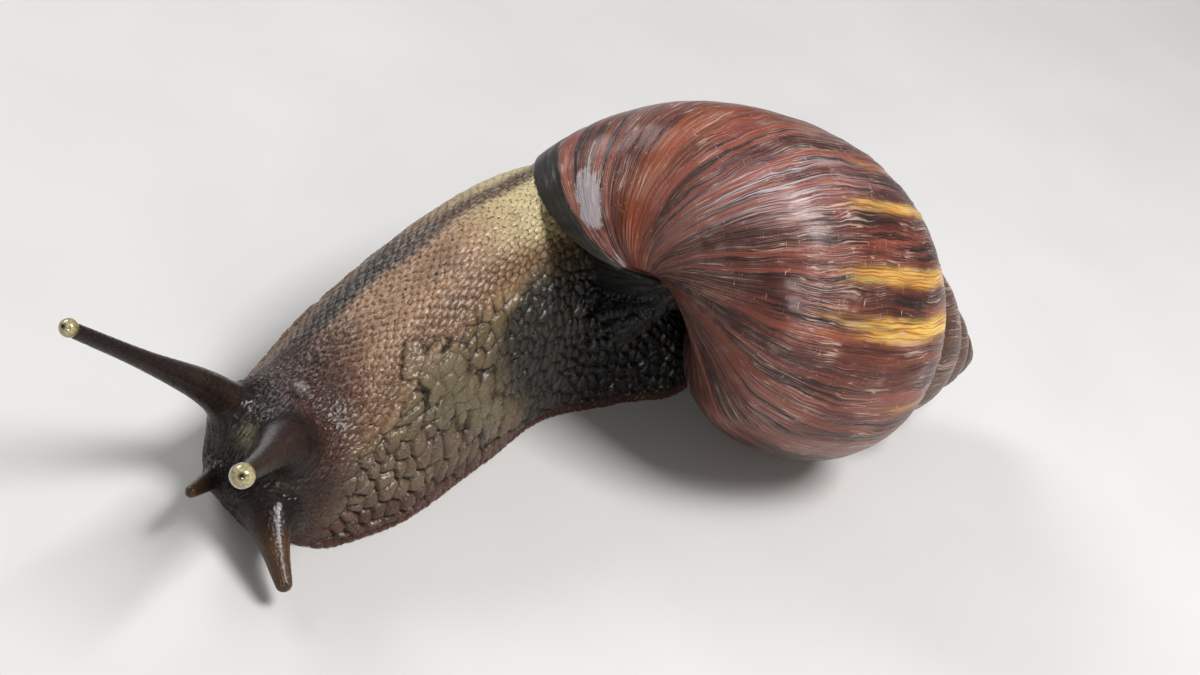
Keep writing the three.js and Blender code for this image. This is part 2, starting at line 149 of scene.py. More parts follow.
def _look(T, r, h):
    x = clamp((r - _gr[0]) / (_gr[1] - _gr[0]), 0, _N - 1.001); y = clamp((h - _gh[0]) / (_gh[1] - _gh[0]), 0, _N - 1.001)
    i, j = x.astype(int), y.astype(int); fx, fy = x - i, y - j
    return (T[i, j] * (1 - fx) + T[i + 1, j] * fx) * (1 - fy) + (T[i, j + 1] * (1 - fx) + T[i + 1, j + 1] * fx) * fy
def shell_coords(P):
    """For world points: lists over whorls of (tau, signed distance mm), tau in [-0.5.., turns]"""
    L = ((P - APEX) @ BASIS) / UNIT
    R = np.hypot(L[..., 0], L[..., 1]); H = L[..., 2]; a = np.arctan2(-L[..., 1], L[..., 0])
    out = []
    for m in range(-1, 7):
        tau = (a - LIP_SHIFT) / (2 * np.pi) + m
        up = 0.0
        for _ in range(5):
            k = GROWTH ** -tau
            ph = _look(PHM, R / k, (H - up) / k)
            up = 0.5 * up + 0.5 * base_lift(tau, _look(UUM, R / k, (H - up) / k))
            tau = 0.4 * tau + 0.6 * ((a - turn_of(ph)) / (2 * np.pi) + m)
        k = GROWTH ** -tau
        out.append((tau, _look(SDF, R / k, (H - up) / k) * k * UNIT))
    return out
WALL_IN = 1.2
MOUTH = 0.15
def shell_fields(P):
    """(outer: distance to the outside of the whole shell, body whorl cut at the lip; tube: distance to the mouth tube carried past the lip; tau of that tube)"""
    outer = np.full(P.shape[:-1], 99.0); tube = np.full(P.shape[:-1], 99.0); tt = np.zeros(P.shape[:-1])
    for tau, d in shell_coords(P):
        back = tau >= LIP_END - 0.001
        outer = np.where(back & (tau < TURNS), np.minimum(outer, d), outer)
        m = (tau > -0.25) & (tau < 0.5) & (d < tube)
        tube = np.where(m, d, tube); tt = np.where(m, tau, tt)
    return outer, tube, tt

# ------------------------------------------------------------------ body
def through(values):
    xs, ys = np.array(STATION, float), np.array(values, float)
    d = np.diff(ys) / np.diff(xs); m = np.zeros(len(xs))
    ok = d[1:] * d[:-1] > 0
    m[1:-1] = np.where(ok, 2 * d[1:] * d[:-1] / np.where(ok, d[1:] + d[:-1], 1), 0); m[0], m[-1] = d[0], d[-1]
    def f(x):
        x = clamp(x, xs[0], xs[-1]); i = np.clip(np.searchsorted(xs, x) - 1, 0, len(xs) - 2)
        h = xs[i + 1] - xs[i]; t = (x - xs[i]) / h; s = 1 - t
        return ys[i] * (1 + 2 * t) * s * s + m[i] * h * t * s * s + ys[i + 1] * t * t * (3 - 2 * t) + m[i + 1] * h * t * t * (t - 1)
    return f
midline, half_width, top_of = through(MIDLINE), through(HALF_WIDTH), through(HEIGHT)
def body_field(x, y, z):
    m, w, t = midline(x), half_width(x), top_of(x)
    z0 = np.maximum(z, 0)
    flare = 0.7 * np.exp(-(z0 / 1.6) ** 2) * ramp(x, -70, -60) * ramp(-x, -77, -60)   # the foot's edge spreads a little
    g = (np.abs((y - m) / (w + flare)) ** 2.2 + np.abs(z0 / t) ** 2.0) ** (1 / 2.1)
    d = (g - 1) * np.minimum(w, t) * 0.9
    d = smax(d, -67.0 - x, 7.0)
    return smax(d, x - 76.5, 2.0)
def ell(x, y, z, c, r):
    k0 = np.sqrt(((x - c[0]) / r[0]) ** 2 + ((y - c[1]) / r[1]) ** 2 + ((z - c[2]) / r[2]) ** 2)
    return (k0 - 1) * min(r)
def catmull(pts, n=40):
    P = np.array(pts, float); Q = np.vstack([2 * P[0] - P[1], P, 2 * P[-1] - P[-2]]); out = []
    for i in range(1, len(Q) - 2):
        for t in np.linspace(0, 1, n, endpoint=False):
            a, b, c, d = Q[i - 1:i + 3]
            v = 0.5 * (2 * b + (c - a) * t + (2 * a - 5 * b + 4 * c - d) * t * t + (3 * b - a - 3 * c + d) * t ** 3)
            out.append(v)
    out.append(P[-1]); return np.array(out)
LINES = {k: catmull(v, 10) for k, v in FEELERS.items()}
def feeler_field(key, P):
    """distance, share along, of a tapering tube on a smooth line"""
    L = LINES[key]; best = np.full(P.shape[:-1], 1e9); along = np.zeros(P.shape[:-1]); n = len(L) - 1
    for i in range(n):
        a, b = L[i], L[i + 1]; ab = b[:3] - a[:3]; l2 = ab @ ab
        t = clamp(((P - a[:3]) @ ab) / l2, 0, 1)
        d = np.sqrt(((P - a[:3] - t[..., None] * ab) ** 2).sum(-1)) - (a[3] + (b[3] - a[3]) * t)
        m = d < best
        best = np.where(m, d, best); along = np.where(m, (i + t) / n, along)
    return best, along
def flesh_field(P, with_feelers=True):
    x, y, z = P[..., 0], P[..., 1], P[..., 2]
    d = body_field(x, y, z)
    d = smin(d, ell(x, y, z, (-61.6, 10.3, 9.0), (9.3, 10.0, 8.6)), 4.0)
    d = smin(d, ell(x, y, z, (-65.7, 9.9, 5.2), (6.2, 8.2, 4.6)), 3.0)
    if with_feelers:
        near = x < -52
        if near.any():
            Q = P[near]; e = d[near]
            for key, k in (("ur", 4.0), ("ul", 3.2), ("lr", 2.0), ("ll", 2.6)):
                f, al = feeler_field(key, Q)
                e = smin(e, f, k)
            d = d.copy(); d[near] = e
    return smax(d, -z, 0.7)
# camera of the view (mm)
CAM = np.array([-212.09, -111.76, 187.26]); CR = np.array([0.6391, -0.7021, 0.3139]); CU = np.array([0.2916, 0.5989, 0.7459]); CF = np.array([0.7117, 0.3852, -0.5875])
def body_coords(P):
    x, y, z = P[..., 0], P[..., 1], P[..., 2]
    m, w, t = midline(x), half_width(x), top_of(x)
    return x, np.degrees(np.arctan2(np.maximum(z, 0) / t, -(y - m) / w))     # 0 at the left edge, 90 on the back, 180 right

# ------------------------------------------------------------------ repeatable noise
def _hash(*ints, seed=0):
    h = np.full(np.broadcast(*ints).shape, (seed * 2654435761 + 97) & 0xffffffff, np.uint64)
    for n, mul in zip(ints, (73856093, 19349663, 83492791)):
        h = (h ^ ((n.astype(np.int64) * mul).astype(np.uint64) & np.uint64(0xffffffff))) & np.uint64(0xffffffff)
        h = (h * np.uint64(0x9E3779B1)) & np.uint64(0xffffffff)
        h ^= h >> np.uint64(15)
    h = (h * np.uint64(0x85EBCA6B)) & np.uint64(0xffffffff)
    h ^= h >> np.uint64(13)
    return h.astype(np.float64) / 4294967296.0
def noise(P, scale, seed=0):
    """smooth value noise in -1..1 over the last axis (1, 2 or 3 coordinates)"""
    Q = np.asarray(P, float) / scale
    if Q.ndim == 1:
        Q = Q[:, None]
    i = np.floor(Q).astype(int); f = Q - i; f = f * f * f * (f * (f * 6 - 15) + 10)
    n = Q.shape[-1]; out = 0
    for c in range(2 ** n):
        w, idx = 1.0, []
        for k in range(n):
            b = (c >> k) & 1
            w = w * (f[..., k] if b else 1 - f[..., k]); idx.append(i[..., k] + b)
        out = out + w * _hash(*idx, seed=seed)
    return out * 2 - 1
def fbm(P, scale, seed=0, octaves=3):
    return sum(noise(P, scale / 2 ** o, seed + 17 * o) * 0.5 ** o for o in range(octaves)) / (2 - 2 ** (1 - octaves))
def cells(X, Y, seed=0, jitter=0.85, stagger=0.0):
    """cell pattern: (gap to the nearest border 0.., random number of the cell)"""
    Yi = np.floor(Y).astype(int)
    f1 = np.full(X.shape, 9.0); f2 = np.full(X.shape, 9.0); rid = np.zeros(X.shape)
    for dy in (-1, 0, 1):
        yi = Yi + dy
        off = stagger * (yi & 1)
        Xi = np.floor(X - off).astype(int)
        for dx in (-1, 0, 1):
            xi = Xi + dx
            a, b = _hash(xi, yi, seed=seed), _hash(xi, yi, seed=seed + 5)
            px = xi + off + 0.5 + (a - 0.5) * jitter; py = yi + 0.5 + (b - 0.5) * jitter
            d = np.hypot(X - px, Y - py)
            near = d < f1
            f2 = np.where(near, f1, np.minimum(f2, d)); rid = np.where(near, a, rid); f1 = np.where(near, d, f1)
    return f2 - f1, rid
def dome(gap, full=0.55):
    t = clamp(gap / full, 0, 1)
    return np.sqrt(np.maximum(1 - (1 - t) ** 2, 0))

# ------------------------------------------------------------------ meshes
def srgb(*c):
    v = np.array(c, float) / 255
    return np.where(v <= 0.04045, v / 12.92, ((v + 0.055) / 1.055) ** 2.4)
def make_mesh(name, verts_mm, quads=None, tris=None, uv=None, floats=(), vectors=(), colors=()):
    me = bpy.data.meshes.new(name)
    verts = (np.asarray(verts_mm, float) + SHIFT) / 1000.0
    quads = np.zeros((0, 4), int) if quads is None else np.asarray(quads)
    tris = np.zeros((0, 3), int) if tris is None else np.asarray(tris)
    loops = np.concatenate([quads.ravel(), tris.ravel()]).astype(np.int32)
    starts = np.concatenate([np.arange(len(quads)) * 4, len(quads) * 4 + np.arange(len(tris)) * 3]).astype(np.int32)
    me.vertices.add(len(verts)); me.vertices.foreach_set("co", verts.astype(np.float32).ravel())
    me.loops.add(len(loops)); me.loops.foreach_set("vertex_index", loops)
    me.polygons.add(len(starts)); me.polygons.foreach_set("loop_start", starts)
    me.update(calc_edges=True)
    me.validate()
    me.shade_smooth()
    if uv is not None:
        lay = me.uv_layers.new(name="OFBake")
        lay.data.foreach_set("uv", np.asarray(uv, np.float32)[loops if len(uv) == len(verts) else slice(None)].ravel())
    for key, v in floats:
        at = me.attributes.new(key, "FLOAT", "POINT"); at.data.foreach_set("value", np.asarray(v, np.float32))
    for key, v in vectors:
        at = me.attributes.new(key, "FLOAT_VECTOR", "POINT"); at.data.foreach_set("vector", np.asarray(v, np.float32).ravel())
    for key, v in colors:
        at = me.attributes.new(key, "FLOAT_COLOR", "POINT")
        at.data.foreach_set("color", np.concatenate([v, np.ones((len(v), 1))], 1).astype(np.float32).ravel())
    ob = bpy.data.objects.new(name, me)
    bpy.context.scene.collection.objects.link(ob)
    return ob
def vertex_normals(V, Q):
    d1 = V[Q[:, 2]] - V[Q[:, 0]]; d2 = V[Q[:, 3]] - V[Q[:, 1]]
    fn = np.cross(d1, d2); N = np.zeros_like(V)
    for k in range(4):
        for ax in range(3):
            N[:, ax] += np.bincount(Q[:, k], fn[:, ax], len(V))
    return N / (np.linalg.norm(N, axis=1, keepdims=True) + 1e-12)
def subdivide(V, Q):
    E = np.concatenate([Q[:, [0, 1]], Q[:, [1, 2]], Q[:, [2, 3]], Q[:, [3, 0]]]); E.sort(1)
    key = E[:, 0].astype(np.int64) * len(V) + E[:, 1]
    u, first, inv = np.unique(key, return_index=True, return_inverse=True)
    EV = (V[E[first, 0]] + V[E[first, 1]]) / 2; FV = V[Q].mean(1)
    n = len(Q); e = [len(V) + inv[k * n:(k + 1) * n] for k in range(4)]; f = len(V) + len(EV) + np.arange(n)
    out = np.concatenate([np.stack([Q[:, k], e[k], f, e[k - 1]], 1) for k in range(4)])
    return np.concatenate([V, EV, FV]), out
def relax(V, Q, share=0.5, times=1):
    for _ in range(times):
        acc = np.zeros_like(V); cnt = np.zeros(len(V))
        for a, b in ((0, 1), (1, 2), (2, 3), (3, 0)):
            for p, q in ((a, b), (b, a)):
                for ax in range(3):
                    acc[:, ax] += np.bincount(Q[:, p], V[Q[:, q], ax], len(V))
                cnt += np.bincount(Q[:, p], minlength=len(V))
        V = V + share * (acc / cnt[:, None] - V)
    return V
def surface_nets(f, o, h):
    s = f < 0
    nx, ny, nz = f.shape
    c = np.zeros((nx - 1, ny - 1, nz - 1), np.int8)
    for i in (0, 1):
        for j in (0, 1):
            for k in (0, 1):
                c += s[i:nx - 1 + i, j:ny - 1 + j, k:nz - 1 + k]
    act = (c > 0) & (c < 8)
    idx = -np.ones(act.shape, np.int64); I, J, K = np.nonzero(act); idx[I, J, K] = np.arange(len(I))
    acc = np.zeros((len(I), 3)); cnt = np.zeros(len(I))
    corners = [(i, j, k) for i in (0, 1) for j in (0, 1) for k in (0, 1)]
    for a in corners:
        for ax in range(3):
            if a[ax]:
                continue
            b = list(a); b[ax] = 1
            fa = f[I + a[0], J + a[1], K + a[2]]; fb = f[I + b[0], J + b[1], K + b[2]]
            m = (fa < 0) != (fb < 0); t = np.where(m, fa / np.where(m, fa - fb, 1), 0)
            for w in range(3):
                acc[:, w] += np.where(m, a[w] + (b[w] - a[w]) * t, 0)
            cnt += m
    V = (np.stack([I, J, K], 1) + acc / cnt[:, None]) * h + np.array(o)
    out = []
    for ax in range(3):
        lo, hi = [slice(None)] * 3, [slice(None)] * 3
        lo[ax], hi[ax] = slice(0, -1), slice(1, None)
        A, B = s[tuple(lo)], s[tuple(hi)]
        p = list(np.nonzero(A != B)); b, c2 = [(1, 2), (2, 0), (0, 1)][ax]
        ok = (p[b] > 0) & (p[c2] > 0) & (p[b] < f.shape[b] - 1) & (p[c2] < f.shape[c2] - 1)
        p = [v[ok] for v in p]; inside = A[p[0], p[1], p[2]]
        def cell(db, dc):
            r = [v.copy() for v in p]; r[b] -= db; r[c2] -= dc
            return idx[r[0], r[1], r[2]]
        q = np.stack([cell(1, 1), cell(0, 1), cell(0, 0), cell(1, 0)], 1)
        out.append(np.where(inside[:, None], q, q[:, ::-1]))
    return V, np.concatenate(out)
def in_chunks(fn, P, size=300000):
    return np.concatenate([fn(P[i:i + size]) for i in range(0, len(P), size)]) if len(P) else np.zeros(0)
def grid_field(fn, lo, hi, h, block=6):
    """the field on a grid, worked out only in the blocks near its surface"""
    n = [int(math.ceil((hi[k] - lo[k]) / h / block)) * block for k in range(3)]
    nb = [v // block for v in n]
    c = np.stack(np.meshgrid(*[lo[k] + (np.arange(nb[k]) + 0.5) * block * h - h / 2 for k in range(3)], indexing="ij"), -1)
    val = in_chunks(fn, c.reshape(-1, 3)).reshape(nb)
    F = np.repeat(np.repeat(np.repeat(val, block, 0), block, 1), block, 2)
    near = np.abs(val) < block * h * 1.15 + 0.8
    for ax in range(3):                       # and where the sign turns between blocks
        a, b = [slice(None)] * 3, [slice(None)] * 3
        a[ax], b[ax] = slice(0, -1), slice(1, None)
        t = (val[tuple(a)] < 0) != (val[tuple(b)] < 0)
        near[tuple(a)] |= t; near[tuple(b)] |= t
    B = np.argwhere(near)
    sub = np.stack(np.meshgrid(*[np.arange(block)] * 3, indexing="ij"), -1).reshape(-1, 3)
    G = (B[:, None, :] * block + sub[None]).reshape(-1, 3)
    F[G[:, 0], G[:, 1], G[:, 2]] = in_chunks(fn, np.array(lo) + G * h)
    return F
def onto(fn, V, times=2, e=0.12):
    for _ in range(times):
        f0 = in_chunks(fn, V)
        g = np.stack([(in_chunks(fn, V + d) - in_chunks(fn, V - d)) / (2 * e) for d in np.eye(3) * e], 1)
        step = -f0[:, None] * g / np.maximum((g ** 2).sum(1, keepdims=True), 0.15)
        L = np.linalg.norm(step, axis=1, keepdims=True)
        V = V + step * np.minimum(1, 0.3 / (L + 1e-9))
    return V

# ------------------------------------------------------------------ the skin, one closed surface
def mantle_fields(P):
    """(mantle that fills the shell's mouth, the shell's solid wall and whorls)"""
    solid = np.full(len(P), 99.0); tube = np.full(len(P), 99.0); tt = np.zeros(len(P))
    for tau, d in shell_coords(P):
        mouth = (tau >= LIP_END - 0.002) & (tau < MOUTH)
        deep = (tau >= MOUTH) & (tau < TURNS)
        solid = np.where(mouth, np.minimum(solid, np.maximum(d, -(d + WALL_IN))), np.where(deep, np.minimum(solid, d), solid))
        m = (tau > -0.25) & (tau < 0.5) & (d < tube)
        tube = np.where(m, d, tube); tt = np.where(m, tau, tt)
    mantle = smax(smax(tube + WALL_IN + 0.15, -(tt + 0.0125) * 170, 1.6), (tt - MOUTH + 0.005) * 150, 1.0)
    return mantle, solid
def skin_field(P):
    d = flesh_field(P)
    near = (P[..., 0] > -34) & (P[..., 2] > 1)
    if near.any():
        mantle, solid = mantle_fields(P[near])
        e = smin(d[near], mantle, 2.0)
        d[near] = smax(e, 0.1 - solid, 0.25)
    return d

GRID = 0.46
def interp(x, xs, ys):
    return np.interp(x, xs, ys)
def mixc(a, b, w):
    return a * (1 - w[:, None]) + b * w[:, None]

def build_skin():
    lo, hi = (-95.2, -17.0, -1.0), (79.0, 46.0, 62.0)
    F = grid_field(skin_field, lo, hi, GRID)
    V, Q = surface_nets(F, lo, GRID)
    keep = largest_part(len(V), Q)
    remap = -np.ones(len(V), int); remap[keep] = np.arange(keep.sum())
    Q = remap[Q[keep[Q[:, 0]]]]; V = V[keep]
    V = relax(V, Q, 0.5, 2); V = onto(skin_field, V, 2)
    V = relax(V, Q, 0.35, 1); V = onto(skin_field, V, 1)
    V, Q = subdivide(V, Q)
    V = onto(skin_field, V, 1); V = relax(V, Q, 0.4, 1)
    return V, Q
def largest_part(n, Q):
    """which vertices belong to the piece with the most of them"""
    lab = np.arange(n)
    while True:
        m = lab[Q].min(1); new = lab.copy()
        for k in range(4):
            np.minimum.at(new, Q[:, k], m)
        new = new[new]
        if (new == lab).all():
            break
        lab = new
    return lab == np.bincount(lab, minlength=n).argmax()

# Colours of the skin, by zone
C = dict(
    pale=srgb(150, 120, 92), straw=srgb(196, 181, 140), tan=srgb(112, 84, 56), olive=srgb(112, 98, 72), grey=srgb(50, 49, 46), black=srgb(11, 11, 11),
    foot=srgb(112, 94, 76), low=srgb(78, 50, 40), hem=srgb(84, 46, 35), head=srgb(66, 40, 30), dark=srgb(24, 14, 11), red=srgb(92, 56, 42), ember=srgb(92, 44, 32),
    back=srgb(24, 17, 13), stripe=srgb(74, 56, 46), feeler=srgb(40, 27, 23), tip=srgb(92, 68, 44), mantle=srgb(4, 4, 4), sole=srgb(120, 104, 80), glass=srgb(122, 116, 94),
    green=srgb(152, 146, 118), lump=srgb(138, 128, 116))
# smooth swellings in the skin: x, degrees round the body, half length mm, half width degrees, height mm
LUMPS = [(-43.6, 52, 2.3, 9.0, 0.75), (-40.2, 46, 2.8, 9.5, 0.95), (-41.6, 36, 2.2, 7.0, 0.6), (-37.6, 34, 2.6, 7.5, 0.8), (-33.8, 25, 3.1, 8.5, 1.05), (-29.6, 16, 2.3, 6.5, 0.65), (-46.2, 62, 1.8, 7.0, 0.45)]

def paint_skin(V, Q):
    """zones, patterns and colours; returns moved vertices and attributes"""
    N = vertex_normals(V, Q)
    x, ang = body_coords(V)
    z = V[:, 2]
    left = ang < 98
    a = np.where(left, ang, 196 - ang)                       # both flanks alike
    row = ang / 180 * 92                                     # rows round the body, mm at the neck
    warp = fbm(V, 9.0, 3)
    warp2 = fbm(V, 5.0, 9)
    # how far each point belongs to a feeler
    wf = np.zeros(len(V)); along = np.zeros(len(V)); around = np.zeros(len(V)); which = np.zeros(len(V), int)
    front = x < -60
    dbody = flesh_field(V[front], False)
    for n, key in enumerate(("ur", "ul", "lr", "ll")):
        f, al = feeler_field(key, V[front])
        w = smooth((dbody - f - 0.2) / 2.2) * (f < 2.5)
        better = w > wf[front]
        L = LINES[key]; P0, P1 = L[0, :3], L[-1, :3]; ax_ = (P1 - P0) / np.linalg.norm(P1 - P0)
        s1 = np.cross(ax_, (0, 0, 1)); s1 /= np.linalg.norm(s1); s2 = np.cross(ax_, s1)
        pos = al * (len(L) - 1); i = clamp(pos.astype(int), 0, len(L) - 2); ctr = L[i, :3] + (L[i + 1, :3] - L[i, :3]) * (pos - i)[:, None]
        dv = V[front] - ctr; th = np.arctan2(dv @ s1, dv @ s2)
        length = np.linalg.norm(P1 - P0)
        idx = np.nonzero(front)[0][better]
        wf[idx] = w[better]; along[idx] = al[better] * length; around[idx] = th[better]; which[idx] = n + 1
    # ---- zones
    xf = x + 1.5 * warp
    lower = interp(x, [-62, -53, -49, -43, -35, -29, -21, -7, 5, 20], [44, 49, 54, 60, 58, 56, 52, 46, 44, 30])
    cellline = interp(x, [-66, -62, -57, -50, -43, -36, -28, -20, 10, 40, 77], [50, 44, 41, 37, 31, 22, 15, 11, 16, 26, 20])
    gran_x = interp(a, [0, 10, 23, 36, 46, 53, 60, 75], [-20, -20, -28, -32, -29, -25, -12, -2])
    w_rows = ramp(a + 3 * warp, lower - 5, lower + 5)
    w_gran = ramp(xf - gran_x, -4, 5) * ramp(-x, -30, -14)
    w_foot = ramp(cellline - a + 3 * warp2, -4, 4)
    w_head = ramp(-x + 0.10 * (a - 60), 54, 61)
    w_tail = ramp(x, 14, 26)
    w_hem = ramp(-z, -2.1, -1.2) * ramp(z, 0.02, 0.15)
    w_sole = ramp(-N[:, 2], 0.75, 0.95) * ramp(-z, -0.5, -0.1)
    w_mantle = ramp(mantle_share(V), 0.3, 0.7)
    wf = np.where(which > 2, wf * ramp(along, 3.5, 7.0), wf)
    # ---- patterns (gap to the border of the cell, cell number)
    xs = x * 1.06 + 1.0 * warp
    ga, ra = cells(xs / 2.0 + 0.10 * warp2, (row + 0.22 * warp2) / 1.2, 11, 0.5, 0.5)   # fine rows of the back
    gb, rb = cells(xs / 3.3 + 0.35 * warp2, (row + 1.5 * warp) / 2.9, 23, 0.9)    # big polygons
    gc, rc = cells(xs / 1.05, row / 0.95, 31, 0.9)                                # small beads on them
    gd, rd = cells(xs / 1.95 + 0.2 * warp, (row + warp2) / 2.0, 41, 0.95)          # dark granules
    ge, re = cells((xs + 0.6 * warp2) / 2.7, (row + warp) / 3.7, 53, 0.75, 0.5)    # tall cells of the foot's side
    gk, rk = cells(xs / 1.35, z / 1.3, 61, 0.8)                                   # knobs of the hem
    gh, rh = cells(x / 2.1 + 0.15 * warp2, (row + 0.3 * warp2) / 0.88, 71, 0.6, 0.5)   # wrinkles of the head
    gt, rt = cells(along / 1.3, around * 2.6 / 0.8 + 0.3 * warp2, 83, 0.9)        # grains of the feelers
    beads = dome(gc, 0.6)
    A = dome(ga, 0.62) * (0.28 + 0.10 * ra)
    big = dome(gb, 0.55)
    B = big * (0.60 + 0.20 * rb) + beads * 0.24 * big
    D = dome(gd, 0.75) * (0.60 + 0.36 * rd) + beads * 0.12
    E = dome(ge, 0.66) * (0.86 + 0.34 * re) + beads * 0.27 * dome(ge, 0.66)
    H = dome(gh, 0.6) * (0.28 + 0.10 * rh)
    T = dome(gt, 0.5) * 0.05
    K = dome(gk, 0.6) * 0.36
    up = 1.0 - w_rows
    h = A * w_rows + up * (B * (1 - w_foot) + E * w_foot)
    # g: 1 on the tops, 0 in the grooves; the skin material paints shade into the grooves from it
    g = dome(ga, 0.50) * w_rows + up * (dome(gb, 0.44) * (1 - w_foot) + dome(ge, 0.52) * w_foot) * (0.62 + 0.38 * dome(gc, 0.4))
    rnd = ra * w_rows + up * (rb * (1 - w_foot) + re * w_foot)
    deep = w_gran * (1 - w_rows * 0.55)
    h = h * (1 - deep) + D * deep; g = g * (1 - deep) + dome(gd, 0.55) * deep; rnd = rnd * (1 - deep) + rd * deep
    h = h * (1 - w_head) + H * w_head; g = g * (1 - w_head) + dome(gh, 0.5) * w_head
    h = h * (1 - w_hem) + K * w_hem; g = g * (1 - w_hem) + dome(gk, 0.45) * w_hem
    h = h * (1 - wf) + T * wf; g = g * (1 - wf) + (0.72 + 0.28 * dome(gt, 0.4)) * wf
    gm, rm = cells(x / 1.8, (V[:, 2] * 0.9 + V[:, 1] * 0.5) / 1.8, 91, 0.95)
    h = h * (1 - w_mantle) + dome(gm, 0.75) * 0.45 * w_mantle; g = g * (1 - w_mantle) + dome(gm, 0.55) * w_mantle
    h *= 1 - w_sole; g = 1 - (1 - g) * (1 - w_sole)
    # ---- larger folds
    crease, roll, swell = swellings(x, ang)
    # smooth rolls get less painted groove shade, the crease round each roll more
    h = h * (1 - 0.45 * roll) + swell - crease * 0.22; g = (g + (1 - g) * 0.35 * roll) * (1 - 0.5 * crease)
    smoothness = clamp(roll, 0, 1)
    brow = np.sqrt(((x + 60.2) / 2.0) ** 2 + ((ang - 92) / 9.0) ** 2)               # the small swelling behind the feeler's root
    h = h + 0.75 * smooth(1.15 - brow) * (1 - wf)
    root = np.linalg.norm(V - np.array([-63.2, 6.8, 13.4]), axis=1)
    ember = np.exp(-((root - 5.6) / 0.8) ** 2) * ramp(x, -66, -62) * ramp(ang, 30, 50) * ramp(-ang, -112, -96)
    # ---- colours
    n1 = 0.5 + 0.5 * fbm(V, 6.0, 101); n2 = 0.5 + 0.5 * fbm(V, 2.2, 107)
    one = np.ones(len(V))
    near_shell = ramp(x, -34, -16)
    col = mixc(np.tile(C["pale"], (len(V), 1)), C["straw"], near_shell)
    col = mixc(col, C["tan"], 0.75 * ramp(x, -6, 12))
    col = mixc(col, C["red"], 0.85 * ramp(-x, 47, 57) * ramp(a, 40, 60))
    tanb = ramp(a, lower - 6, lower + 3) * ramp(-a, -lower - 19, -lower - 7)
    col = mixc(col, C["tan"], 0.85 * tanb)
    col = mixc(col, C["olive"], ramp(lower - a, -2, 9))
    col = mixc(col, C["foot"], w_foot * 0.9)
    col = mixc(col, C["low"], ramp(cellline * 0.42 - a, -4, 5) * 0.8)
    col = mixc(col, C["grey"], deep * 0.95)
    toshell = ramp(x - interp(a, [0, 20, 40, 60, 80], [0, -5, -9, -7, 2]), -9, 3) * ramp(72 - a, -6, 8)
    col = mixc(col, C["black"], toshell * 0.94 * ramp(-x, -30, -14))
    # the back: a dark band on the right of the crest toward the head, a mauve stripe toward the shell
    edge = interp(x, [-60, -55, -44, -38, -32, -25, -18], [104, 110, 108, 106, 104, 101, 96])
    band = ramp(ang - edge + 3 * warp - 5 * ramp(-x, 48, 60), -4, 4) * ramp(-ang, -142, -124) * ramp(-x, 26, 40)
    col = mixc(col, C["back"], band * 0.95)
    stripe = ramp(ang - edge + 2 * warp, -7, -1) * ramp(-(ang - edge), -11, -4) * ramp(x, -44, -36) * ramp(-x, 8, 14)
    col = mixc(col, C["stripe"], stripe * 0.85)
    rightback = ramp(ang, 118, 132) * ramp(-x, -20, 10)
    col = mixc(col, C["tan"], rightback * 0.5 * (1 - w_foot))
    hd = ramp(-x + 0.16 * (a - 55) + 2.5 * warp, 53, 62)
    col = mixc(col, C["head"], hd * 0.95)
    col = mixc(col, C["dark"], ramp(-x + 0.1 * (a - 60), 58, 67) * 0.92)
    col = mixc(col, C["ember"], ember * 0.25)
    spot = np.linalg.norm(V - np.array([-69.0, 10.6, 14.6]), axis=1)
    col = mixc(col, C["green"], np.exp(-(spot / 1.7) ** 2) * 0.75 * (1 - wf))
    col = mixc(col, C["ember"] * 0.6, np.exp(-((brow - 1.15) / 0.25) ** 2) * 0.85)
    col = mixc(col, C["lump"], smooth(1.25 - brow * 1.35) * 0.8)
    col = mixc(col, C["hem"], w_hem * 0.85)
    fl = np.where(which > 2, 0.85, 1.0)
    col = mixc(col, C["feeler"], wf * fl)
    L3 = ramp(along, 8.0, 12.5) * (which > 2) * wf
    col = mixc(col, C["tip"], L3 * 0.8)
    # the mantle in the shell's mouth: near black, partly its dark skin, partly painted shade inside the mouth
    col = mixc(col, C["mantle"], w_mantle)
    col = mixc(col, C["sole"], w_sole)
    col = mixc(col, C["glass"], smoothness * 0.35 * (1 - 0.6 * w_gran))
    # mottling
    col = col * (0.80 + 0.28 * n1 + 0.14 * (n2 - 0.5) + 0.16 * (rnd - 0.5))[:, None]
    V2 = V + N * h[:, None]
    V2[:, 2] = np.where(z < 0.6, np.maximum(V2[:, 2], V[:, 2] * 0.0), V2[:, 2])
    V2[:, 2] = np.maximum(V2[:, 2], 0.0)
    grain = np.stack([xs * (1 - wf) + (along + 300) * wf, (row * (1 - wf) + around * 2.6 * wf) * (1 - w_mantle) + V[:, 1] * w_mantle, V[:, 2]], 1)
    return V2, dict(groove=g, wet=clamp(0.5 + 0.5 * n1 - 0.2 * w_sole, 0, 1), soft=smoothness, rows=w_rows * (1 - deep) * (1 - wf) * (1 - 0.7 * w_head), dark=deep, feeler=wf, mantle=w_mantle, rnd=rnd), col, grain
def mantle_share(V):
    out = np.zeros(len(V)); near = (V[:, 0] > -34) & (V[:, 2] > 1)
    P = V[near]; m, _ = mantle_fields(P); b = flesh_field(P, False)
    out[near] = smooth(0.5 + (b - m) / 2.5)
    return out
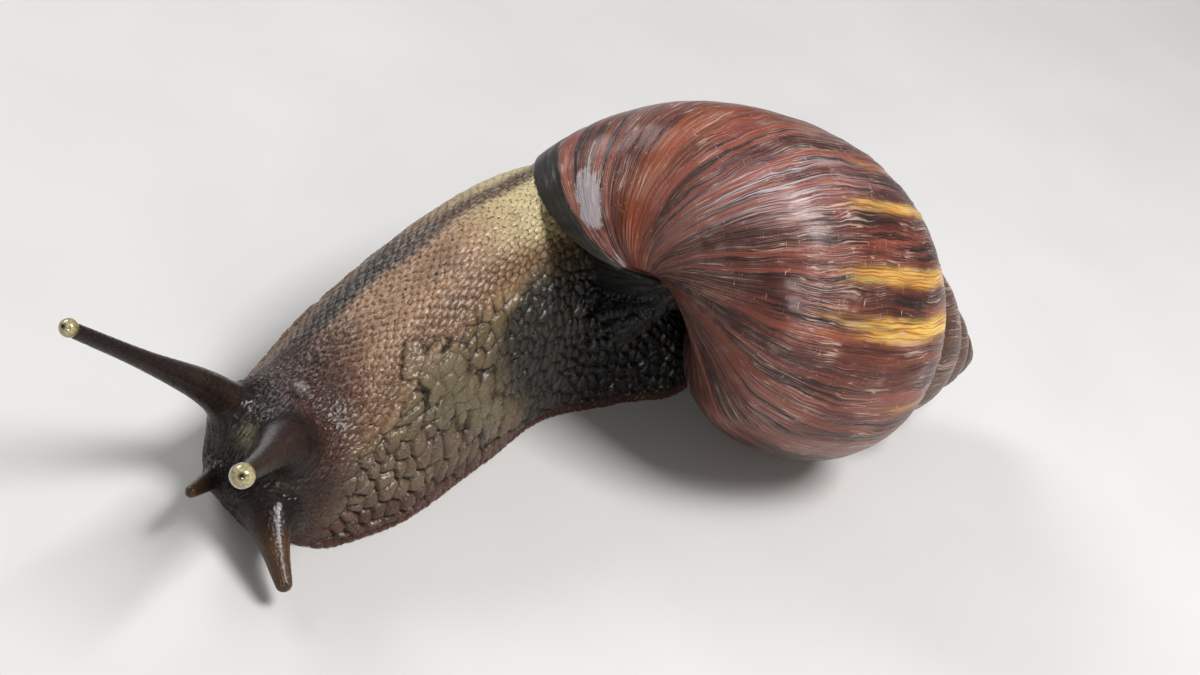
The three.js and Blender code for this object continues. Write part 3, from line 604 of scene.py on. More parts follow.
def swellings(x, ang):
    """the loose folds of the flank, a row of smooth rolls: (crease round them, share of smooth skin, height mm)"""
    crease = np.zeros(len(x)); share = np.zeros(len(x)); up = np.zeros(len(x))
    m = (np.abs(x + 37) < 18) & (ang < 80)
    xm, am = x[m], ang[m]
    xm = xm + 0.7 * noise(np.stack([xm, am * 0.5], -1), 3.0, 501); am = am + 1.6 * noise(np.stack([xm, am * 0.5], -1), 3.0, 507)
    c = np.zeros(len(xm)); sh = np.zeros(len(xm)); h = np.zeros(len(xm))
    for x0, a0, rx, ra, top in LUMPS:
        e = np.sqrt(((xm - x0) / rx) ** 2 + ((am - a0) / ra) ** 2)
        c = np.maximum(c, np.exp(-((e - 1.12) / 0.17) ** 2)); sh = np.maximum(sh, smooth((1.2 - e) / 0.5))
        h = np.maximum(h, top * np.sqrt(np.maximum(0, 1 - (e / 1.12) ** 2)))
    crease[m] = c * (1 - sh * 0.8); share[m] = sh; up[m] = h
    return crease, share, up

# ------------------------------------------------------------------ the shell
STREAKS = [  # (turns back from the lip, half width in turns, how far down the whorl it reaches in u, strength): yellow flames
    (0.248, 0.0050, 0.245, 0.6), (0.294, 0.0065, 0.262, 0.9), (0.358, 0.0085, 0.272, 1.0), (0.404, 0.0115, 0.285, 1.0),
    (0.490, 0.005, 0.235, 0.35), (0.640, 0.010, 0.24, 0.6), (0.720, 0.012, 0.26, 0.7), (0.820, 0.010, 0.25, 0.6), (0.915, 0.012, 0.27, 0.7)]
DARKS = [(0.266, 0.005, 0.30, 0.9), (0.306, 0.0045, 0.30, 0.9), (0.379, 0.0075, 0.33, 1.0), (0.424, 0.005, 0.31, 0.9), (0.336, 0.004, 0.28, 0.5), (0.462, 0.005, 0.33, 0.6), (0.68, 0.008, 0.4, 0.8), (0.77, 0.01, 0.4, 0.8), (0.87, 0.01, 0.4, 0.8)]

def growth_mm(tau):
    return 2 * np.pi * BULGE[0] * UNIT / np.log(GROWTH) * (1 - GROWTH ** -np.asarray(tau, float))
def arc_samples(step, lo, hi):
    u = np.linspace(lo, hi, 2001); r, h, _ = plain_outline(np.minimum(u, 0.99999))
    s = np.concatenate([[0], np.cumsum(np.hypot(np.diff(r), np.diff(h)))]) * UNIT
    n = max(3, int(round(s[-1] / step)))
    return np.interp(np.linspace(0, s[-1], n + 1), s, u)
def arc_of(u):
    q = np.linspace(0, 0.99999, 3001); r, h, _ = plain_outline(q)
    s = np.concatenate([[0], np.cumsum(np.hypot(np.diff(r), np.diff(h)))]) * UNIT
    return np.interp(u, q, s)

def shell_relief(tau, u):
    """raised growth relief in mm, by turns and place on the outline"""
    G = growth_mm(tau); k = GROWTH ** -tau
    W = arc_of(u) * k
    wav = fbm(np.stack([G / 1.0, W / 9.0], -1), 4.5, 201, 3)
    fine = noise(np.stack([G, W / 26.0], -1), 1.15, 207)
    rest = np.maximum(0, noise(G, 9.0, 211) - 0.35)           # a few stronger growth rests
    crenel = np.exp(-((u - 0.14) / 0.03) ** 2) * noise(np.stack([G, W * 0], -1), 1.6, 213)
    bend = G + 0.7 * fbm(np.stack([G / 14.0, W / 14.0], -1), 1.0, 221, 2)
    thread = np.exp(-(noise(np.stack([bend, W / 40.0], -1), 1.9, 223) / 0.085) ** 2) * ramp(noise(np.stack([G / 3.0, W / 3.0], -1), 4.0, 227), -0.3, 0.3)
    rel = 0.13 * wav + 0.055 * fine + 0.12 * rest + 0.10 * crenel + 0.13 * thread
    chip = np.exp(-(((tau - 0.302) / 0.006) ** 2 + ((u - 0.296) / 0.012) ** 2))
    dent = -0.35 * chip + 0.16 * fbm(np.stack([G / 11.0, W / 11.0], -1), 1.0, 219, 2)
    return (rel + dent) * np.minimum(1, k * 1.6)

def build_shell():
    step = 0.40
    ub = arc_samples(step, 0.0, 0.27)                          # band that shows on every whorl
    ua = np.concatenate([ub[:-1], arc_samples(step, 0.27, 0.9), np.linspace(0.9, 1.0, 9)[1:-1]])
    uh = np.concatenate([ub[:-1], np.linspace(0.27, 1.0, 12)[:-1]])
    t_change = 1.22
    t1 = [LIP_END]
    while t1[-1] < t_change:
        t1.append(t1[-1] + step / (208.0 * GROWTH ** -t1[-1]) * 1.0)
    t1 = np.array(t1) * (t_change - LIP_END) / (t1[-1] - LIP_END) + LIP_END * (1 - (t_change - LIP_END) / (t1[-1] - LIP_END))
    t2 = [t1[-1]]
    while t2[-1] < 6.3:
        t2.append(t2[-1] + max(0.0017, min(0.012, step / (208.0 * GROWTH ** -t2[-1]))))
    t2 = np.array(t2[1:])
    na, nh, nb = len(ua), len(uh), len(ub) - 1
    # lip: rolls over a thin edge, then runs back inside as a lining
    edge = [(LIP_END - 0.0012, -0.10), (LIP_END - 0.0024, -0.32), (LIP_END - 0.0026, -0.60), (LIP_END - 0.0018, -0.85), (LIP_END, -1.0)]
    lining = [(LIP_END + 0.004 * i * (1 + 0.12 * i), -1.0 - 0.2 * min(1, i / 6)) for i in range(1, 18)]
    rings, info = [], []
    def ring(tau, us, grow):
        tt = np.full(len(us), tau)
        g = np.full(len(us), grow)
        if grow == 0.0:
            g = g + shell_relief(tt, us)
        rings.append(shell_point(tt, us, g)); info.append(np.stack([tt, us, np.full(len(us), 0.0 if grow == 0 else 1.0)], 1))
    for tau, gr in reversed(lining): ring(tau, ua, gr)
    for tau, gr in reversed(edge): ring(tau, ua, gr)
    for tau in t1: ring(tau, ua, 0.0)
    n1 = len(rings)
    for tau in t2: ring(tau, uh, 0.0)
    V = np.concatenate(rings); I = np.concatenate(info)
    axis = BASIS[:, 2]; s = clamp((V - APEX) @ axis, 0, 1e9)
    V = V + np.outer(np.sqrt(s * s + 4.0 ** 2) - s, axis)     # the tip is blunt
    quads, tris = [], []
    start = np.cumsum([0] + [len(r) for r in rings])
    def strip(i, n):
        j = np.arange(n); a, b = start[i] + j, start[i] + (j + 1) % n
        c, d = start[i + 1] + (j + 1) % n, start[i + 1] + j
        quads.append(np.stack([a, b, c, d], 1))
    for i in range(n1 - 1): strip(i, na)
    for i in range(n1, len(rings) - 1): strip(i, nh)
    # where the ring loses its hidden points
    j = np.arange(nb); i = n1 - 1
    quads.append(np.stack([start[i] + j, start[i] + j + 1, start[i + 1] + j + 1, start[i + 1] + j], 1))
    pa, ph = list(range(nb, na)) + [0], list(range(nb, nh)) + [0]
    p = q = 0
    ur, uq = list(ua[nb:]) + [1.0], list(uh[nb:]) + [1.0]
    while p < len(pa) - 1 or q < len(ph) - 1:
        if q == len(ph) - 1 or (p < len(pa) - 1 and ur[p + 1] <= uq[q + 1]):
            tris.append([start[i] + pa[p], start[i] + pa[p + 1], start[i + 1] + ph[q]]); p += 1
        else:
            tris.append([start[i] + pa[p], start[i + 1] + ph[q + 1], start[i + 1] + ph[q]]); q += 1
    # end caps, out of sight
    for idx, n, flip in ((0, na, True), (len(rings) - 1, nh, False)):
        c = len(V); V = np.vstack([V, V[start[idx]:start[idx] + n].mean(0)]); I = np.vstack([I, I[start[idx]]])
        for k in range(n):
            a_, b_ = start[idx] + k, start[idx] + (k + 1) % n
            tris.append([c, b_, a_] if flip else [c, a_, b_])
    quads = np.concatenate(quads); tris = np.array(tris)
    # faces outward
    c = V[quads[len(quads) // 3]]; nrm = np.cross(c[2] - c[0], c[3] - c[1])
    tau_c, u_c = I[quads[len(quads) // 3, 0], 0], I[quads[len(quads) // 3, 0], 1]
    out = shell_point(np.array([tau_c]), np.array([u_c]), np.array([1.0]))[0] - c[0]
    if nrm @ out < 0:
        quads = quads[:, ::-1]; tris = tris[:, ::-1]
    return V, quads, tris, I

def paint_shell(I):
    tau, u, inner = I[:, 0], I[:, 1], I[:, 2]
    G = growth_mm(tau); k = GROWTH ** -tau; W = arc_of(u) * k
    def line(t0, w, reach, s, soft=0.05):
        wob = 0.0022 * noise(W, 6.0, 300 + int(t0 * 1000)) + 0.0010 * noise(W, 1.7, 305 + int(t0 * 1000))
        rag = 0.035 * noise(np.stack([G, W / 8.0], -1), 0.7, 309) + 0.02 * noise(W, 9.0, 311 + int(t0 * 1000))
        return s * np.exp(-((tau - t0 + wob) / w) ** 4) * ramp(reach + rag - u, -soft, soft) * (0.90 + 0.12 * noise(np.stack([G, W / 5.0], -1), 1.4, 313))
    yellow = sum(line(*s) for s in STREAKS); dark = sum(line(*s, soft=0.07) for s in DARKS)
    # flames of the older whorls, as the species has them
    old = ramp(tau, 1.0, 1.25)
    flame = ramp(noise(np.stack([G, W * 0.25], -1), 3.4 , 331) + 0.25 * noise(np.stack([G, W], -1), 1.2, 337), -0.05, 0.25)
    older = ramp(tau, 1.9, 3.2)
    def blot(t0, u0, dt, du, s=1.0):
        return s * np.exp(-(((tau - t0) / dt) ** 2 + ((u - u0) / du) ** 2))
    orange = blot(0.160, 0.49, 0.030, 0.07) + blot(0.180, 0.545, 0.03, 0.03, 0.8) + blot(0.156, 0.40, 0.022, 0.07, 0.9) + blot(0.160, 0.33, 0.026, 0.045, 0.9) + blot(0.43, 0.25, 0.03, 0.05, 0.45) + blot(0.30, 0.34, 0.02, 0.05, 0.3)
    worn = np.exp(-(((tau - 0.066) / 0.026) ** 2 + ((u - 0.487) / 0.050) ** 2))
    pink = np.exp(-((tau - interp(u, [0.15, 0.233, 0.288, 0.349, 0.386, 0.5], [0.55, 0.556, 0.564, 0.590, 0.68, 0.80])) / 0.014) ** 2) * ramp(u, 0.12, 0.2)
    olive = np.exp(-((tau - interp(u, [0.15, 0.255, 0.307, 0.351, 0.5], [0.585, 0.595, 0.628, 0.695, 0.84])) / 0.022) ** 2) * ramp(u, 0.12, 0.2)
    # painted reflection of the sky: patches of pale sheen on the body whorl where the highlight falls
    sky_sheen = blot(0.262, 0.37, 0.024, 0.11) + blot(0.293, 0.36, 0.012, 0.05, 0.8) + blot(0.09, 0.33, 0.03, 0.05, 0.35)
    chip = np.exp(-(((tau - 0.302) / 0.005) ** 2 + ((u - 0.296) / 0.010) ** 2))
    # lip band and lining: dark periostracum at the edge, with painted shade on the inner bevel and the lining inside
    # the mouth
    rim = interp(u, [0.10, 0.30, 0.40, 0.45, 0.50, 0.55, 0.60, 0.65, 0.72], [0.005, 0.012, 0.023, 0.029, 0.033, 0.036, 0.048, 0.065, 0.09]) + 0.002 * noise(W, 2.0, 341)
    lip = ramp(rim - tau, -0.0015, 0.0015)
    gw = np.stack([G, W, tau], 1)
    return dict(yellow=clamp(yellow, 0, 1) * (1 - lip), dark=clamp(dark, 0, 1), chip=chip, old=old, flame=flame, older=older, orange=clamp(orange, 0, 1), worn=worn, pink=pink, olive=olive, sky_sheen=sky_sheen, lip=np.maximum(lip, inner), inner=inner), gw

# ------------------------------------------------------------------ materials
class Tree:
    def __init__(self, name):
        self.mat = bpy.data.materials.new(name); self.mat.use_nodes = True
        self.t = self.mat.node_tree; self.t.nodes.clear()
        self.out = self.t.nodes.new("ShaderNodeOutputMaterial")
        self.bsdf = self.t.nodes.new("ShaderNodeBsdfPrincipled")
        self.t.links.new(self.bsdf.outputs[0], self.out.inputs[0])
    def put(self, sock, v):
        if v is None:
            return
        if hasattr(v, "links"):
            self.t.links.new(v, sock)
        elif isinstance(v, (tuple, list, np.ndarray)) and len(sock.default_value) == 4 and len(v) == 3:
            sock.default_value = (*[float(c) for c in v], 1.0)
        elif isinstance(v, (tuple, list, np.ndarray)):
            sock.default_value = [float(c) for c in v]
        else:
            sock.default_value = v
    def attr(self, name, out="Fac"):
        n = self.t.nodes.new("ShaderNodeAttribute"); n.attribute_name = name
        return n.outputs[out]
    def math(self, op, a, b=None, c=None, clamped=False):
        n = self.t.nodes.new("ShaderNodeMath"); n.operation = op; n.use_clamp = clamped
        for i, v in enumerate((a, b, c)):
            self.put(n.inputs[i], v)
        return n.outputs[0]
    def mul(self, a, b): return self.math("MULTIPLY", a, b)
    def add(self, a, b): return self.math("ADD", a, b)
    def sub(self, a, b): return self.math("SUBTRACT", a, b)
    def vmul(self, v, s):
        n = self.t.nodes.new("ShaderNodeVectorMath"); n.operation = "MULTIPLY"; self.put(n.inputs[0], v); self.put(n.inputs[1], s)
        return n.outputs[0]
    def vadd(self, v, s):
        n = self.t.nodes.new("ShaderNodeVectorMath"); n.operation = "ADD"; self.put(n.inputs[0], v); self.put(n.inputs[1], s)
        return n.outputs[0]
    def mix(self, a, b, f, mode="MIX"):
        n = self.t.nodes.new("ShaderNodeMix"); n.data_type = "RGBA"; n.blend_type = mode; n.clamp_factor = True
        self.put(n.inputs[0], f); self.put(n.inputs[6], a); self.put(n.inputs[7], b)
        return n.outputs[2]
    def range(self, v, a, b, c=0.0, d=1.0, kind="SMOOTHSTEP"):
        n = self.t.nodes.new("ShaderNodeMapRange"); n.interpolation_type = kind
        self.put(n.inputs[0], v)
        for i, w in zip((1, 2, 3, 4), (a, b, c, d)):
            self.put(n.inputs[i], w)
        return n.outputs[0]
    def noise(self, vec, scale, detail=2.0, rough=0.5, distort=0.0):
        n = self.t.nodes.new("ShaderNodeTexNoise"); n.noise_dimensions = "3D"
        self.put(n.inputs["Vector"], vec); self.put(n.inputs["Scale"], scale); self.put(n.inputs["Detail"], detail)
        self.put(n.inputs["Roughness"], rough); self.put(n.inputs["Distortion"], distort)
        return n.outputs[0]
    def voronoi(self, vec, scale, feature="F1", out="Distance", rand=1.0):
        n = self.t.nodes.new("ShaderNodeTexVoronoi"); n.feature = feature
        self.put(n.inputs["Vector"], vec); self.put(n.inputs["Scale"], scale); self.put(n.inputs["Randomness"], rand)
        return n.outputs[out]
    def bump(self, height, strength, distance, normal=None):
        n = self.t.nodes.new("ShaderNodeBump")
        self.put(n.inputs["Strength"], strength); self.put(n.inputs["Distance"], distance); self.put(n.inputs["Height"], height); self.put(n.inputs["Normal"], normal)
        return n.outputs[0]
    def object(self):
        n = self.t.nodes.new("ShaderNodeTexCoord"); return n.outputs["Object"]
    def set(self, **kw):
        for k, v in kw.items():
            self.put(self.bsdf.inputs[k.replace("_", " ")], v)

def skin_material():
    m = Tree("snail_skin")
    tint, g, rows = m.attr("tint", "Color"), m.attr("groove"), m.attr("rows")
    grain, wet, soft, dark, rnd = m.attr("grain", "Vector"), m.attr("wet"), m.attr("soft"), m.attr("dark"), m.attr("rnd")
    obj = m.object()
    n_micro = m.noise(grain, 3.2, 3.0, 0.6)                     # about 0.3 mm
    n_mid = m.noise(obj, 900.0, 3.0, 0.55)                      # about 1 mm
    n_big = m.noise(obj, 160.0, 2.0, 0.5)                       # about 6 mm
    # painted shade: the grooves between cells and beads darken toward black
    shade = m.range(g, 0.0, 0.92, 0.0, 1.12)
    shade = m.mul(shade, m.range(n_micro, 0.25, 0.75, 0.86, 1.12, "LINEAR"))
    shade = m.mul(shade, m.range(n_mid, 0.3, 0.7, 0.90, 1.09, "LINEAR"))
    base = m.mix(tint, (0.022, 0.012, 0.007), m.range(g, 0.0, 0.66, 0.85, 0.0))   # painted shade: dark brown in the grooves
    base = m.mix((0, 0, 0), base, shade, "MIX")
    # painted highlight: the tops of the beads in the rows turn pale pinkish white
    top_highlight = m.mul(m.range(g, 0.80, 1.0, 0.0, 1.0), m.mul(rows, m.range(n_mid, 0.40, 0.66, 0.0, 0.30)))
    base = m.mix(base, srgb(208, 186, 168), top_highlight)
    # painted highlight: bluish-grey glints on the tops of the dark granules
    beads = m.mul(m.mul(dark, m.range(g, 0.75, 1.0, 0.0, 1.0)), m.range(n_micro, 0.5, 0.75, 0.0, 0.42))
    base = m.mix(base, srgb(128, 128, 120), beads)
    base = m.mix(base, m.mix(base, srgb(70, 52, 34), 0.5), m.range(n_big, 0.48, 0.72, 0.0, 0.55))
    rough = m.add(m.range(n_mid, 0.3, 0.7, 0.20, 0.36, "LINEAR"), m.mul(m.sub(1.0, g), 0.14))
    rough = m.add(m.sub(rough, m.mul(soft, 0.05)), m.mul(m.attr("mantle"), 0.35))
    fine = m.bump(n_micro, 0.7, 0.00015)
    pits = m.bump(m.voronoi(grain, 1.9, "F1"), 0.5, 0.00020, fine)
    m.set(Base_Color=base, Roughness=rough, Normal=pits)
    b = m.bsdf.inputs
    b["Subsurface Weight"].default_value = 0.12; b["Subsurface Scale"].default_value = 0.0012
    b["Subsurface Radius"].default_value = (1.0, 0.55, 0.3)
    b["Coat Weight"].default_value = 0.5; b["Coat Roughness"].default_value = 0.14; b["Coat IOR"].default_value = 1.38
    b["Specular IOR Level"].default_value = 0.5; b["IOR"].default_value = 1.4
    return m.mat

def shell_material():
    m = Tree("snail_shell")
    gw = m.attr("gw", "Vector"); A = {k: m.attr(k) for k in ("yellow", "dark", "old", "flame", "older", "orange", "worn", "pink", "olive", "sky_sheen", "lip", "inner", "chip")}
    obj = m.object()
    # along the growth lines: coordinates are (mm of growth, mm down the whorl, turns)
    warp = m.noise(m.vmul(gw, (0.10, 0.10, 0.0)), 1.0, 2.0)
    bent = m.vadd(gw, m.vmul(m.math("SUBTRACT", warp, 0.5), (3.0, 0.0, 0.0)))
    wide = m.noise(m.vmul(bent, (0.26, 0.020, 0.0)), 1.0, 3.0, 0.6)
    mid = m.noise(m.vmul(bent, (0.85, 0.045, 0.0)), 1.0, 4.0, 0.65)
    thin = m.noise(m.vmul(bent, (3.4, 0.09, 0.0)), 1.0, 3.0, 0.6)
    hair = m.noise(m.vmul(bent, (9.0, 0.35, 0.0)), 1.0, 2.0, 0.6)
    speck = m.noise(obj, 1500.0, 3.0, 0.7)
    blotch = m.noise(obj, 120.0, 4.0, 0.6)
    base = m.mix(srgb(70, 31, 25), srgb(144, 76, 58), m.range(wide, 0.38, 0.62))
    base = m.mix(base, srgb(20, 10, 10), m.range(mid, 0.49, 0.60, 0.0, 0.92))
    base = m.mix(base, srgb(132, 76, 66), m.mul(m.range(thin, 0.52, 0.64, 0.0, 0.75), m.range(blotch, 0.35, 0.6, 0.35, 1.0)))
    base = m.mix(base, srgb(164, 84, 38), m.mul(m.mul(A["orange"], 0.75), m.range(mid, 0.42, 0.56, 0.05, 1.0)))
    base = m.mix(base, srgb(136, 78, 66), m.mul(A["pink"], 0.8))
    base = m.mix(base, srgb(52, 38, 30), m.mul(A["olive"], 0.75))
    amber = m.mix(srgb(196, 122, 26), srgb(246, 212, 112), m.range(thin, 0.36, 0.60))
    base = m.mix(base, amber, m.mul(A["yellow"], m.range(mid, 0.30, 0.50, 0.55, 1.0)))
    base = m.mix(base, srgb(34, 24, 18), m.mul(A["dark"], m.range(thin, 0.25, 0.55, 1.0, 0.65)))
    # older whorls: straw with brown flames, rubbed paler toward the tip
    straw = m.mix(srgb(62, 38, 30), srgb(106, 74, 52), m.range(mid, 0.35, 0.65))
    flamed = m.mix(straw, m.mix(srgb(46, 22, 20), srgb(80, 42, 32), m.range(thin, 0.4, 0.6)), m.range(A["flame"], 0.1, 0.9, 0.0, 0.95))
    base = m.mix(base, flamed, m.mul(A["old"], 0.85))
    base = m.mix(base, srgb(100, 68, 56), m.mul(A["older"], 0.40))
    # painted reflection: a pale mauve sheen of the sky along the growth lines; wear: scratches, a rubbed patch behind
    # the lip
    streak = m.range(thin, 0.46, 0.66)
    base = m.mix(base, srgb(206, 192, 194), m.mul(m.mul(A["sky_sheen"], 0.95), m.mul(m.range(thin, 0.44, 0.58, 0.10, 1.0), m.range(mid, 0.40, 0.56, 0.15, 1.0))))
    base = m.mix(base, srgb(176, 144, 130), m.mul(m.mul(streak, m.range(blotch, 0.46, 0.60, 0.0, 1.0)), 0.50))
    # pale hairlines along the growth lines
    wavy = m.noise(m.vmul(bent, (1.35, 0.055, 0.0)), 1.0, 1.0, 0.5, 0.35)
    hairline = m.mul(m.sub(1.0, m.range(m.math("ABSOLUTE", m.sub(wavy, 0.5)), 0.006, 0.022)), m.range(blotch, 0.40, 0.58, 0.0, 1.0))
    base = m.mix(base, srgb(196, 172, 156), m.mul(hairline, 0.72))
    s1 = m.noise(m.vmul(gw, (0.55, 4.2, 0.0)), 1.0, 2.0, 0.5, 0.6)
    s2 = m.noise(m.vmul(m.vadd(obj, (0.3, 0.1, 0.2)), (420.0, 2600.0, 900.0)), 1.0, 2.0, 0.5, 0.4)
    scr = m.math("MAXIMUM", m.range(s1, 0.655, 0.70), m.range(s2, 0.70, 0.74))
    scr = m.mul(scr, m.range(m.noise(obj, 260.0, 2.0), 0.42, 0.62, 0.0, 1.0))
    base = m.mix(base, srgb(210, 180, 166), m.mul(scr, 0.62))
    base = m.mix(base, m.mix(srgb(120, 52, 46), srgb(190, 160, 150), m.range(s2, 0.45, 0.6)), m.mul(m.range(m.add(A["chip"], m.mul(m.sub(thin, 0.5), 0.8)), 0.3, 0.6), 0.8))
    worn = m.mul(m.range(m.add(A["worn"], m.add(m.mul(m.sub(m.noise(obj, 420.0, 5.0, 0.75), 0.5), 1.1), m.mul(m.sub(thin, 0.5), 0.9))), 0.42, 0.62), m.range(thin, 0.30, 0.55, 0.55, 1.0))
    base = m.mix(base, srgb(176, 168, 170), m.mul(worn, 0.92))
    base = m.mix(base, m.mix(base, (0, 0, 0), 0.45), m.range(speck, 0.60, 0.74, 0.0, 0.55))
    # lip and lining: dark greenish edge, partly the periostracum, partly painted shade of the shell's mouth; the pearl
    # below gets no weight, so the lining stays dark
    base = m.mix(base, m.mix(srgb(17, 18, 13), srgb(46, 46, 30), m.range(thin, 0.4, 0.65)), m.mul(A["lip"], 0.97))
    pearl = srgb(196, 190, 196)
    base = m.mix(base, pearl, m.range(A["inner"], 0.9, 1.0, 0.0, 0.0))
    h = m.add(m.add(m.mul(thin, 0.9), m.mul(hair, 0.35)), m.mul(mid, 0.8))
    n1 = m.bump(h, 1.0, 0.00030)
    n2 = m.bump(m.sub(speck, m.mul(scr, 1.2)), 0.35, 0.00006, n1)
    rough = m.add(m.range(mid, 0.3, 0.7, 0.26, 0.42, "LINEAR"), m.mul(scr, 0.18))
    rough = m.add(rough, m.mul(A["worn"], 0.05))
    m.set(Base_Color=base, Roughness=rough, Normal=n2)
    b = m.bsdf.inputs
    b["Coat Weight"].default_value = 0.30; b["Coat Roughness"].default_value = 0.20
    b["Specular IOR Level"].default_value = 0.5
    return m.mat

def eye_material(name, pupil):
    m = Tree(name)
    polar, obj = m.attr("polar"), m.object()
    n = m.noise(obj, 2600.0, 3.0, 0.6); nb = m.noise(obj, 900.0, 2.0)
    cream = m.mix(srgb(146, 134, 98), srgb(186, 178, 142), m.range(n, 0.35, 0.65))
    base = m.mix(cream, srgb(128, 108, 64), m.range(polar, 0.8, 1.7))
    base = m.mix(base, srgb(70, 56, 44), m.range(m.add(polar, m.mul(m.sub(nb, 0.5), 0.5)), 1.6, 2.3, 0.0, 0.95))
    if pupil:
        base = m.mix(srgb(26, 21, 15), m.mix(srgb(112, 98, 66), base, m.range(polar, 0.20, 0.46)), m.range(m.add(polar, m.mul(m.sub(n, 0.5), 0.10)), 0.09, 0.22))
    m.set(Base_Color=base, Roughness=m.range(n, 0.3, 0.7, 0.06, 0.14), Normal=m.bump(n, 0.12, 0.00004))
    b = m.bsdf.inputs
    b["Subsurface Weight"].default_value = 0.35; b["Subsurface Scale"].default_value = 0.0010; b["Subsurface Radius"].default_value = (1.0, 0.8, 0.45)
    b["Coat Weight"].default_value = 1.0; b["Coat Roughness"].default_value = 0.03
    return m.mat

def floor_material():
    m = Tree("studio_floor")
    n = m.noise(m.object(), 30.0, 3.0)
    m.set(Base_Color=m.mix(srgb(204, 202, 198), srgb(210, 208, 205), n), Roughness=m.range(n, 0.3, 0.7, 0.55, 0.65))
    return m.mat

# ------------------------------------------------------------------ eyes
def eye_piece(name, centre, radius, stalk_from, look, pupil):
    n_ring, n_seg = 40, 64
    ax_ = np.array(look, float); ax_ /= np.linalg.norm(ax_)
    back = np.array(stalk_from, float) - centre; back /= np.linalg.norm(back)
    s1 = np.cross(ax_, (0.1, 0.2, 1.0)); s1 /= np.linalg.norm(s1); s2 = np.cross(ax_, s1)
    th = np.pi * np.arange(1, n_ring) / n_ring; ph = 2 * np.pi * np.arange(n_seg) / n_seg
    T, Ph = np.meshgrid(th, ph, indexing="ij")
    D = np.cos(T)[..., None] * ax_ + np.sin(T)[..., None] * (np.cos(Ph)[..., None] * s1 + np.sin(Ph)[..., None] * s2)
    D = np.concatenate([D.reshape(-1, 3), [ax_, -ax_]])
    polar = np.concatenate([T.ravel(), [0, np.pi]])
    long = 1 + 0.10 * smooth((D @ back - 0.2) / 0.8)                     # a little longer toward the stalk
    r = radius * 0.985 * long * (1 + 0.010 * noise(D, 0.6, 401)) * (1 + 0.02 * np.exp(-(polar / 0.28) ** 2))
    V = centre + D * r[:, None]
    idx = np.arange((n_ring - 1) * n_seg).reshape(n_ring - 1, n_seg)
    quads = np.stack([idx[:-1], np.roll(idx[:-1], -1, 1), np.roll(idx[1:], -1, 1), idx[1:]], -1).reshape(-1, 4)[:, ::-1]
    top, bot = len(V) - 2, len(V) - 1
    tris = [[top, idx[0, (j + 1) % n_seg], idx[0, j]] for j in range(n_seg)] + [[bot, idx[-1, j], idx[-1, (j + 1) % n_seg]] for j in range(n_seg)]
    tris = np.array(tris)
    c = V[quads[0]]
    if np.cross(c[2] - c[0], c[3] - c[1]) @ (c[0] - centre) < 0:
        quads = quads[:, ::-1]
    t = V[tris[0]]
    if np.cross(t[1] - t[0], t[2] - t[0]) @ (t[0] - centre) < 0:
        tris = tris[:, ::-1]
    uv = np.concatenate([np.stack([0.5 + T / np.pi * 0.49 * np.cos(Ph), 0.5 + T / np.pi * 0.49 * np.sin(Ph)], -1).reshape(-1, 2), [[0.5, 0.5], [0.99, 0.5]]])
    ob = make_mesh(name, V, quads, tris, uv=uv, floats=[("polar", polar)])
    ob.data.materials.append(eye_material("eye_" + name, pupil))
    return ob

# ------------------------------------------------------------------ make everything
import time
_t = time.time()
def tick(what):
    print("[time] %s %.1f s" % (what, time.time() - _t), flush=True)

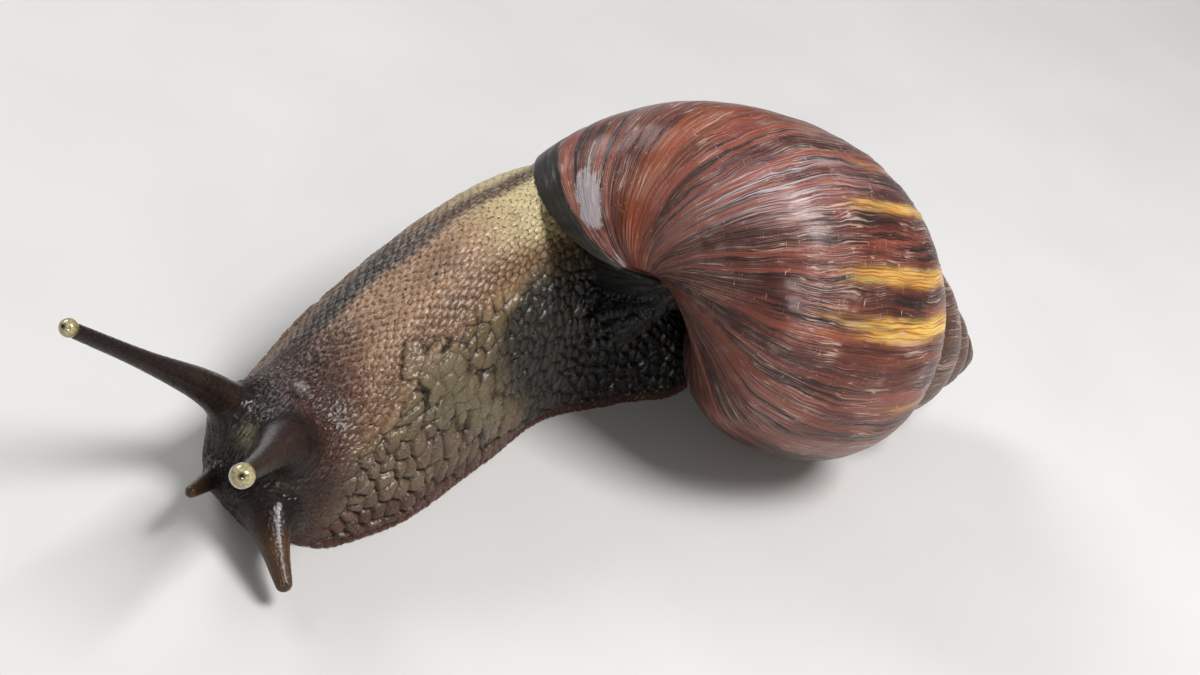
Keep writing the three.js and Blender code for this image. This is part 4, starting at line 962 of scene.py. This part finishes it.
SV, SQ = build_skin(); tick("skin surface %d" % len(SV))
SV2, floats, tint, grain = paint_skin(SV, SQ); tick("skin painted")
skin = make_mesh("skin", SV2, SQ, floats=list(floats.items()), vectors=[("grain", grain)], colors=[("tint", tint)])
skin.data.materials.append(skin_material())
tick("skin mesh")
HV, HQ, HT, HI = build_shell(); tick("shell surface %d" % len(HV))
masks, gw = paint_shell(HI)
shell = make_mesh("shell_coil", HV, HQ, HT, floats=list(masks.items()), vectors=[("gw", gw)])
shell.data.materials.append(shell_material())
tick("shell mesh")
eye_r = eye_piece("eyeball_right", EYE_R[0], EYE_R[1], (-88, 22, 30), (-0.80, -0.10, 0.58), True)
eye_l = eye_piece("eyeball_left", EYE_L[0], EYE_L[1], (-84, -4.6, 30), (-0.60, -0.46, 0.66), True)
for ob, nodes, slot in ((skin, ("head", "neck", "trunk", "foot", "tail", "mantle_collar", "upper_tentacle_right", "upper_tentacle_left", "lower_tentacle_right", "lower_tentacle_left"), "skin_olive"),
                        (shell, ("shell",), "shell"), (eye_r, ("eye_right",), "eye"), (eye_l, ("eye_left",), "eye")):
    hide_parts(*nodes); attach(ob, "root")

# ------------------------------------------------------------------ floor, camera and light
bpy.ops.mesh.primitive_plane_add(size=6.0, location=(0, 0, 0))
floor = bpy.context.object; floor.name = "studio_floor"
floor.data.materials.append(floor_material())

cam = bpy.data.cameras.new("view"); cam.sensor_width = 36.0; cam.lens = 54.0; cam.clip_start, cam.clip_end = 0.01, 20
camera = bpy.data.objects.new("view", cam); bpy.context.scene.collection.objects.link(camera)
R = np.stack([CR, CU, -CF], 1); R, _r = np.linalg.qr(R); R = R * np.sign(np.diag(_r))
M = np.eye(4); M[:3, :3] = R; M[:3, 3] = (CAM + SHIFT) / 1000
camera.matrix_world = Matrix(M.tolist()); bpy.context.scene.camera = camera

def area(name, at, to, size, power, colour=(1, 1, 1)):
    L = bpy.data.lights.new(name, "AREA"); L.shape = "RECTANGLE"; L.size, L.size_y = size; L.energy = power; L.color = colour
    o = bpy.data.objects.new(name, L); bpy.context.scene.collection.objects.link(o)
    o.location = at; o.rotation_mode = "QUATERNION"; o.rotation_quaternion = (Vector(to) - Vector(at)).to_track_quat("-Z", "Y")
area("top_soft", (0.07, -0.26, 0.60), (0, 0, 0.02), (0.24, 0.24), 3.5, (0.98, 0.98, 1.0))
area("window", (-0.03, 0.60, 0.46), (0, 0, 0.02), (0.40, 0.22), 1.8, (0.98, 0.99, 1.0))
area("front_fill", (-0.45, -0.42, 0.22), (0, 0, 0.02), (0.16, 0.12), 0.8, (1.0, 0.99, 0.97))
world = bpy.data.worlds.new("studio"); bpy.context.scene.world = world; world.use_nodes = True
world.node_tree.nodes["Background"].inputs[0].default_value = (0.94, 0.96, 1.0, 1); world.node_tree.nodes["Background"].inputs[1].default_value = 0.21
bpy.context.scene.view_settings.view_transform = "Standard"
bpy.context.scene.view_settings.exposure = 0.35
bpy.context.scene.view_settings.gamma = 0.86
